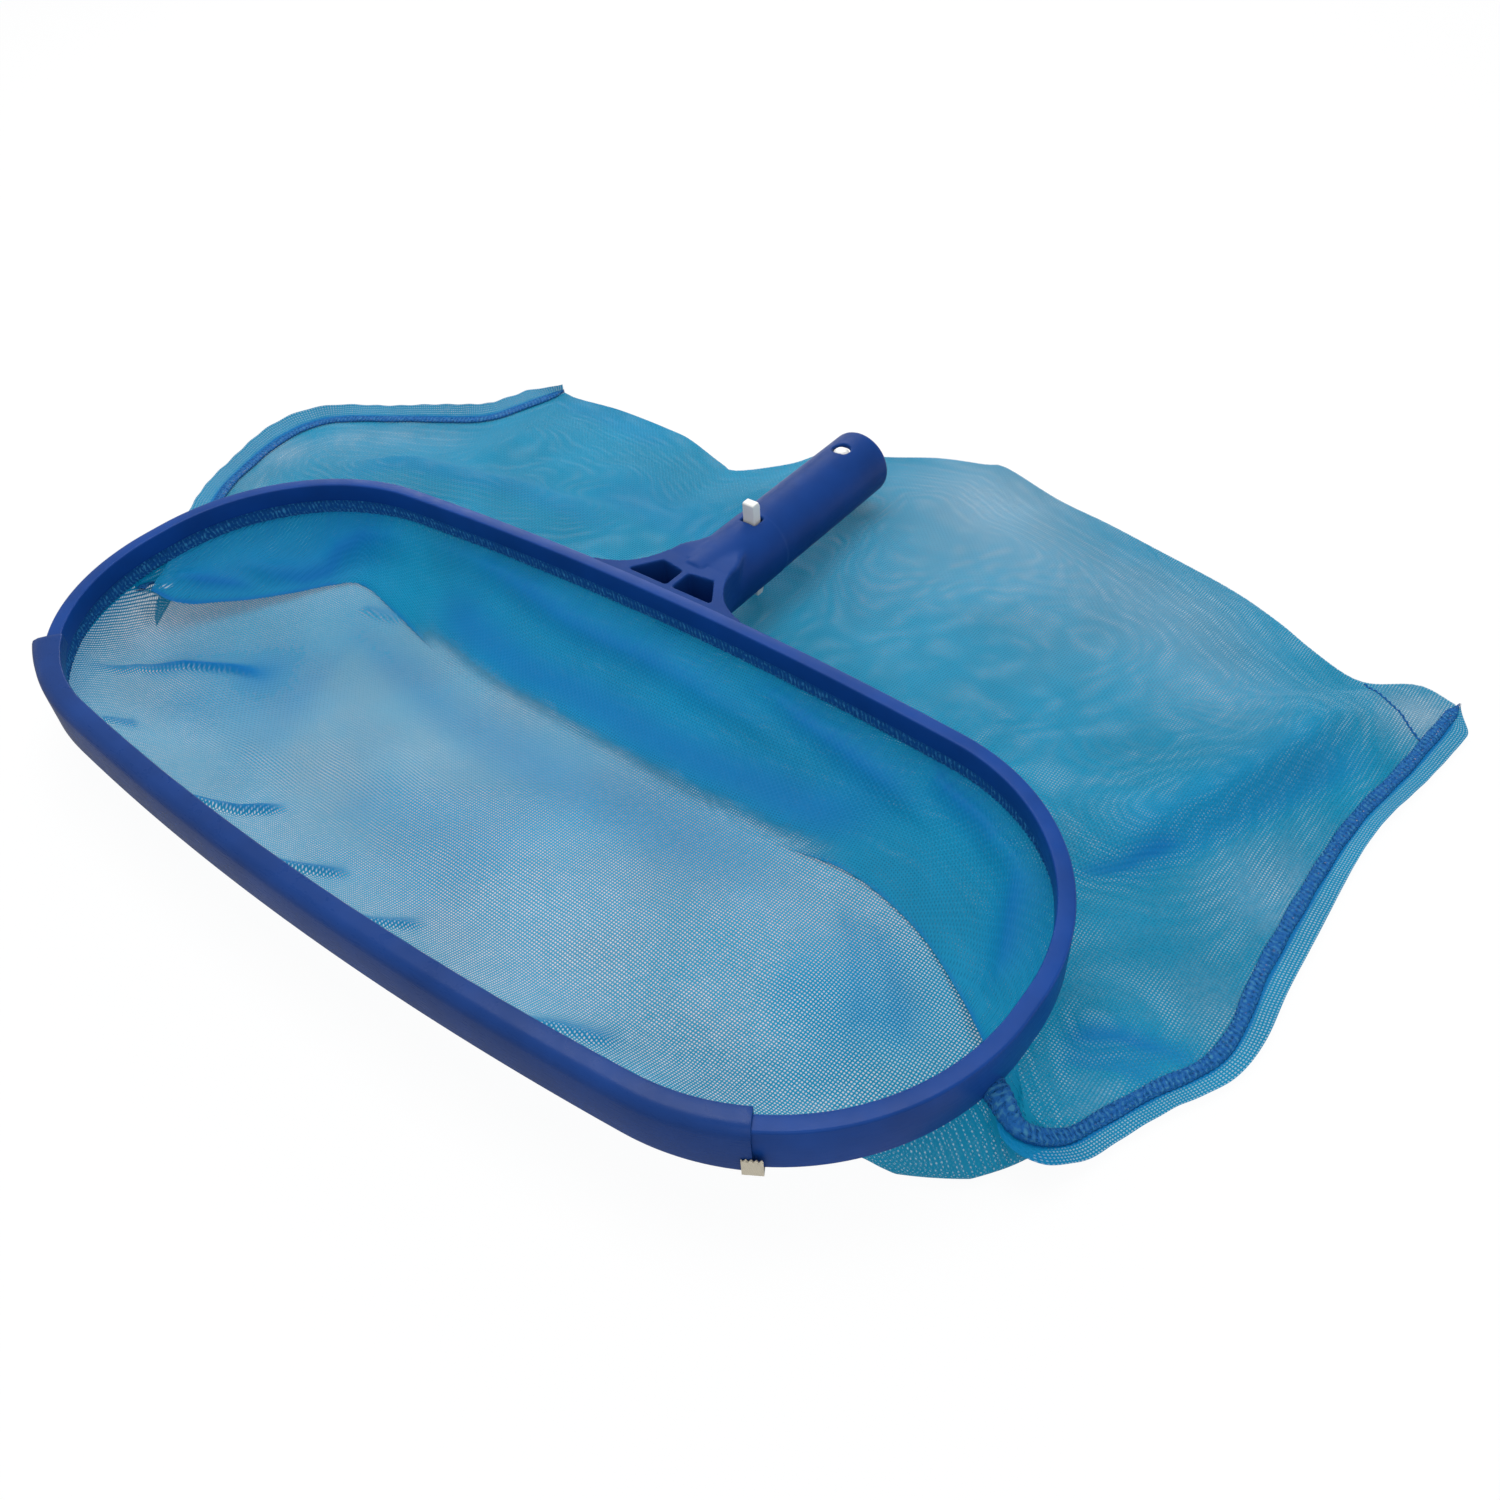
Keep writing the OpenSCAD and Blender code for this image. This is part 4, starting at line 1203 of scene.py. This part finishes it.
class SideSeam:
    """One side seam along its path; start is 0 where the path begins at the hoop, 1 where
    it ends there."""

    def __init__(self, path, start, cloth):
        self.path, self.start, self.cloth = path, start, cloth
        self.count = int(path.length / cloth.stitch * 4)

    def from_hoop(self, u):
        return 1 - u if self.start else u

    def low(self, u):
        """Level of the seam, which rises to the hem at the hoop."""
        hem = hem_level(self.cloth, above=-END_DROP)
        return SEAM_FLOOR + (hem - SEAM_FLOOR) * (1 - smoothstep(self.from_hoop(u) / 0.16)) ** 2

    def near_hoop(self, u):
        return 1 - smoothstep(self.from_hoop(u) * self.path.length / 0.035)

    def strip(self, u, v):
        """The cloth beyond the stitches, curling up a little."""
        width = (self.cloth.allowance * (0.92 + 0.08 * np.sin(u * 13 + 1))
                 * window(u / 0.06, (1 - u) / 0.06))
        curl = (0.002 if self.start else 0.0052) * v ** 1.2 * (0.85 + 0.15 * np.sin(u * 23 + 2))
        ripple = 0.0002 * v * np.sin(u * self.path.length * 500)
        return np.c_[self.path.beside(u, width * v + 0.0008),
                     self.low(u) + 0.0004 + curl + ripple]

    def strip_marks(self, u, v, points):
        out = v * self.cloth.allowance
        line = np.exp(-((out - self.cloth.overlock * 0.42) / 0.0007) ** 2)
        # painted shade, which also closes the weave: a line under the overlock's edge, a little
        # all over, and more near the hoop
        return {"layers_and_shade": 0.9 * line + 0.12 + 0.5 * self.near_hoop(u), "thin": 0 * u}

    def band(self, u, v):
        """The overlock's stitches, rolled up wide where the right seam meets the hoop."""
        turn = 2 * math.pi * v
        across = np.cos(turn)
        phase = 2 * math.pi * u * self.path.length / self.cloth.stitch + 1.6 * across
        roll = self.near_hoop(u) * self.start
        corner = smoothstep((u if self.start else 1 - u) * self.path.length / 0.007)
        half = self.cloth.overlock / 2 * (0.92 + 0.05 * np.sin(phase)
                                          + 0.06 * np.sin(phase * 0.09 + 1))
        half = half * (1 + 0.6 * roll) * (0.15 + 0.85 * corner)
        thick = 0.00085 + 0.00012 * np.sin(phase) + 0.0024 * roll
        return np.c_[self.path.beside(u, soft_power(across, 0.8) * half + 0.0002),
                     self.low(u) + 0.0009 + np.sin(turn) * thick + 0.0015 * roll]


class SKIMMER_OT_side_seams(bpy.types.Operator):
    """Sew the two side seams with their allowances and overlock stitches"""
    bl_idname = "skimmer.side_seams"
    bl_label = "Side seams"

    def execute(self, context):
        cloth, colours = context.scene.skimmer_cloth, context.scene.skimmer_colours
        _, left, right = bag_outline()
        thread = stitch_material("Seam overlock", [c * 1.1 for c in colours.seam],
                                 [c * 0.66 for c in colours.stitch_light], cloth,
                                 openings=True)
        edge_cloth = net_material("Seam allowance", colours.thread, cloth, dense=0.14)
        for side, path, start in (("left", left, 0), ("right", right, 1)):
            seam = SideSeam(path, start, cloth)
            obj = grid(f"{side}_seam_allowance", seam.count // 2, 16, seam.strip,
                       lambda u, v: np.c_[u * path.length, v * cloth.allowance],
                       seam.strip_marks)
            finish_piece(obj, edge_cloth)
            obj = tube_grid(f"{side}_seam_stitches", seam.count, 12, seam.band,
                            lambda u, v: np.c_[u * path.length, v * 2 * cloth.overlock])
            finish_piece(obj, thread, replaced=[f"{side}_side_seam"])
        self.sew_dart(cloth, colours)
        return {"FINISHED"}

    @staticmethod
    def sew_dart(cloth, colours):
        """A short row of stitches that lies on the upper cloth at the far right corner."""
        dart = Path(smooth_path([(227, 139), (243, 127), (255, 118)]))
        net = bpy.data.objects["upper_net"]

        def tack(u, v):
            turn = 2 * math.pi * v
            lift = np.clip(np.sin(2 * math.pi * u * dart.length / (cloth.stitch * 1.4)), -0.4, 1)
            p = dart.beside(u, np.cos(turn) * 0.0005)
            falls = [net.ray_cast((x, y, HOOP_TOP), (0, 0, -1)) for x, y in p]
            level = [spot.z if hit else SEAM_FLOOR for hit, spot, _, _ in falls]
            return np.c_[p, np.array(level) + 0.0003 * np.sin(turn) + 0.0004 * lift]

        obj = grid("dart_stitches", 120, 6, tack, lambda u, v: np.c_[u * dart.length, v * 0.002])
        finish_piece(obj, plastic("Dart thread", colours.seam, 0.7, 0))


# ---------------- stage

CAMERA_PLACE = (0.27797, -0.40826, 0.31044)
# Azimuth, elevation and roll in radians
CAMERA_TURN = (0.6944433, 0.7662187, -0.0638964)
CAMERA_LENS = 31.056
# Name, place, turn, size and power of each soft light
LAMPS = (
    ("Top softbox", (-0.12, 0.02, 1.1), (-0.05, -0.11, 0), (0.9, 0.7), 9.0),
    ("Rear strip", (-0.75, 0.75, 0.55), (-0.95, 0, 0.8), (0.9, 0.25), 3.5),
    ("Front fill", (0.8, -1.0, 0.9), (0.95, 0, 0.68), (0.8, 0.8), 2.2),
)


class SKIMMER_OT_stage(bpy.types.Operator):
    """Set the camera, the pale floor and the soft lights"""
    bl_idname = "skimmer.stage"
    bl_label = "Stage"

    def execute(self, context):
        scene = context.scene
        scene.view_settings.view_transform = "Standard"
        self.place_camera(scene)
        self.make_world(scene)
        self.lay_floor()
        for name, place, turn, size, power in LAMPS:
            deselect()
            bpy.ops.object.light_add(type="AREA", location=place, rotation=turn)
            lamp = context.object
            lamp.name = name
            lamp.data.shape = "RECTANGLE"
            lamp.data.size, lamp.data.size_y = size
            lamp.data.energy = power
        deselect()
        return {"FINISHED"}

    @staticmethod
    def place_camera(scene):
        azimuth, elevation, roll = CAMERA_TURN
        back = np.array([math.sin(azimuth) * math.cos(elevation),
                         -math.cos(azimuth) * math.cos(elevation), math.sin(elevation)])
        level = np.array([math.cos(azimuth), math.sin(azimuth), 0])
        rise = np.cross(back, level)
        right = math.cos(roll) * level + math.sin(roll) * rise
        up = -math.sin(roll) * level + math.cos(roll) * rise
        deselect()
        bpy.ops.object.camera_add()
        camera = bpy.context.object
        camera.data.lens = CAMERA_LENS
        camera.data.sensor_width = 36.0
        camera.data.clip_start = 0.01
        axes = np.stack([right, up, back, CAMERA_PLACE], 1)
        camera.matrix_world = Matrix([*axes.tolist(), (0, 0, 0, 1)])
        scene.camera = camera

    @staticmethod
    def make_world(scene):
        """A pale sky that lights the scene and is seen as plain white."""
        scene.world = bpy.data.worlds.new("Studio")
        scene.world.use_nodes = True
        w = Wires(scene.world.node_tree)
        sky, seen = (w.add("ShaderNodeBackground", {"Color": colour, "Strength": strength})[0]
                     for colour, strength in (((0.93, 0.96, 1.0, 1), 0.62), ((1, 1, 1, 1), 1.0)))
        camera_ray = w.add("ShaderNodeLightPath")["Is Camera Ray"]
        mixed = w.add("ShaderNodeMixShader", {0: camera_ray, 1: sky, 2: seen})[0]
        w.add("ShaderNodeOutputWorld", {0: mixed})

    @staticmethod
    def lay_floor():
        """A matt floor that glows for the camera, and for reflections behind the hoop."""
        deselect()
        bpy.ops.mesh.primitive_circle_add(vertices=96, radius=3.0, fill_type="NGON",
                                          location=(0, 0, GROUND - 0.0004))
        floor = bpy.context.object
        floor.name = "floor"
        keep_origin(floor)
        material = bpy.data.materials.new("Pale floor")
        material.use_nodes = True
        w = Wires(material.node_tree)
        rays = w.add("ShaderNodeLightPath")
        shiny = rays["Is Glossy Ray"]
        beyond = w.ramp(w.split(w.object_place())[1], -0.08, 0.04, 0.3, 1.6)
        strength = w.math("ADD", w.math("MULTIPLY", shiny, beyond),
                          w.math("SUBTRACT", 1.0, shiny))
        seen = w.math("MAXIMUM", rays["Is Camera Ray"], shiny)
        seen = w.math("MAXIMUM", seen, rays["Is Transmission Ray"])
        matt = w.add("ShaderNodeBsdfDiffuse", {"Color": (0.9, 0.9, 0.9, 1)})[0]
        glow = w.add("ShaderNodeEmission", {"Strength": strength})[0]
        mixed = w.add("ShaderNodeMixShader", {0: w.math("MULTIPLY", seen, 0.94), 1: matt,
                                              2: glow})[0]
        w.add("ShaderNodeOutputMaterial", {0: mixed})
        paint(floor, material)


# ---------------- panel and run

STEPS = ("stage", "hoop", "lip", "handle", "clip", "hem", "lower_net", "upper_net",
         "side_seams")
SETTINGS = {
    "skimmer_hoop": HoopSettings,
    "skimmer_lip": LipSettings,
    "skimmer_moulding": MouldingSettings,
    "skimmer_cloth": ClothSettings,
    "skimmer_colours": ColourSettings,
}


class SKIMMER_PT_panel(bpy.types.Panel):
    """Lists the pieces of the skimmer and their settings"""
    bl_idname = "SKIMMER_PT_panel"
    bl_label = "Leaf skimmer net"
    bl_space_type = "VIEW_3D"
    bl_region_type = "UI"
    bl_category = "Skimmer"

    def draw(self, context):
        for step in STEPS:
            self.layout.operator(f"skimmer.{step}")
        for name in SETTINGS:
            group = getattr(context.scene, name)
            box = self.layout.box()
            for field in group.bl_rna.properties:
                if field.identifier not in ("rna_type", "name"):
                    box.prop(group, field.identifier)


CLASSES = (*SETTINGS.values(), SKIMMER_OT_stage, SKIMMER_OT_hoop, SKIMMER_OT_lip,
           SKIMMER_OT_handle, SKIMMER_OT_clip, SKIMMER_OT_hem, SKIMMER_OT_lower_net,
           SKIMMER_OT_upper_net, SKIMMER_OT_side_seams, SKIMMER_PT_panel)


def register():
    for cls in CLASSES:
        bpy.utils.register_class(cls)
    for name, cls in SETTINGS.items():
        setattr(bpy.types.Scene, name, bpy.props.PointerProperty(type=cls))


def unregister():
    for name in SETTINGS:
        delattr(bpy.types.Scene, name)
    for cls in reversed(CLASSES):
        bpy.utils.unregister_class(cls)


def main():
    register()
    for step in STEPS:
        getattr(bpy.ops.skimmer, step)()
    bpy.context.view_layer.update()


if __name__ == "__main__":
    main()
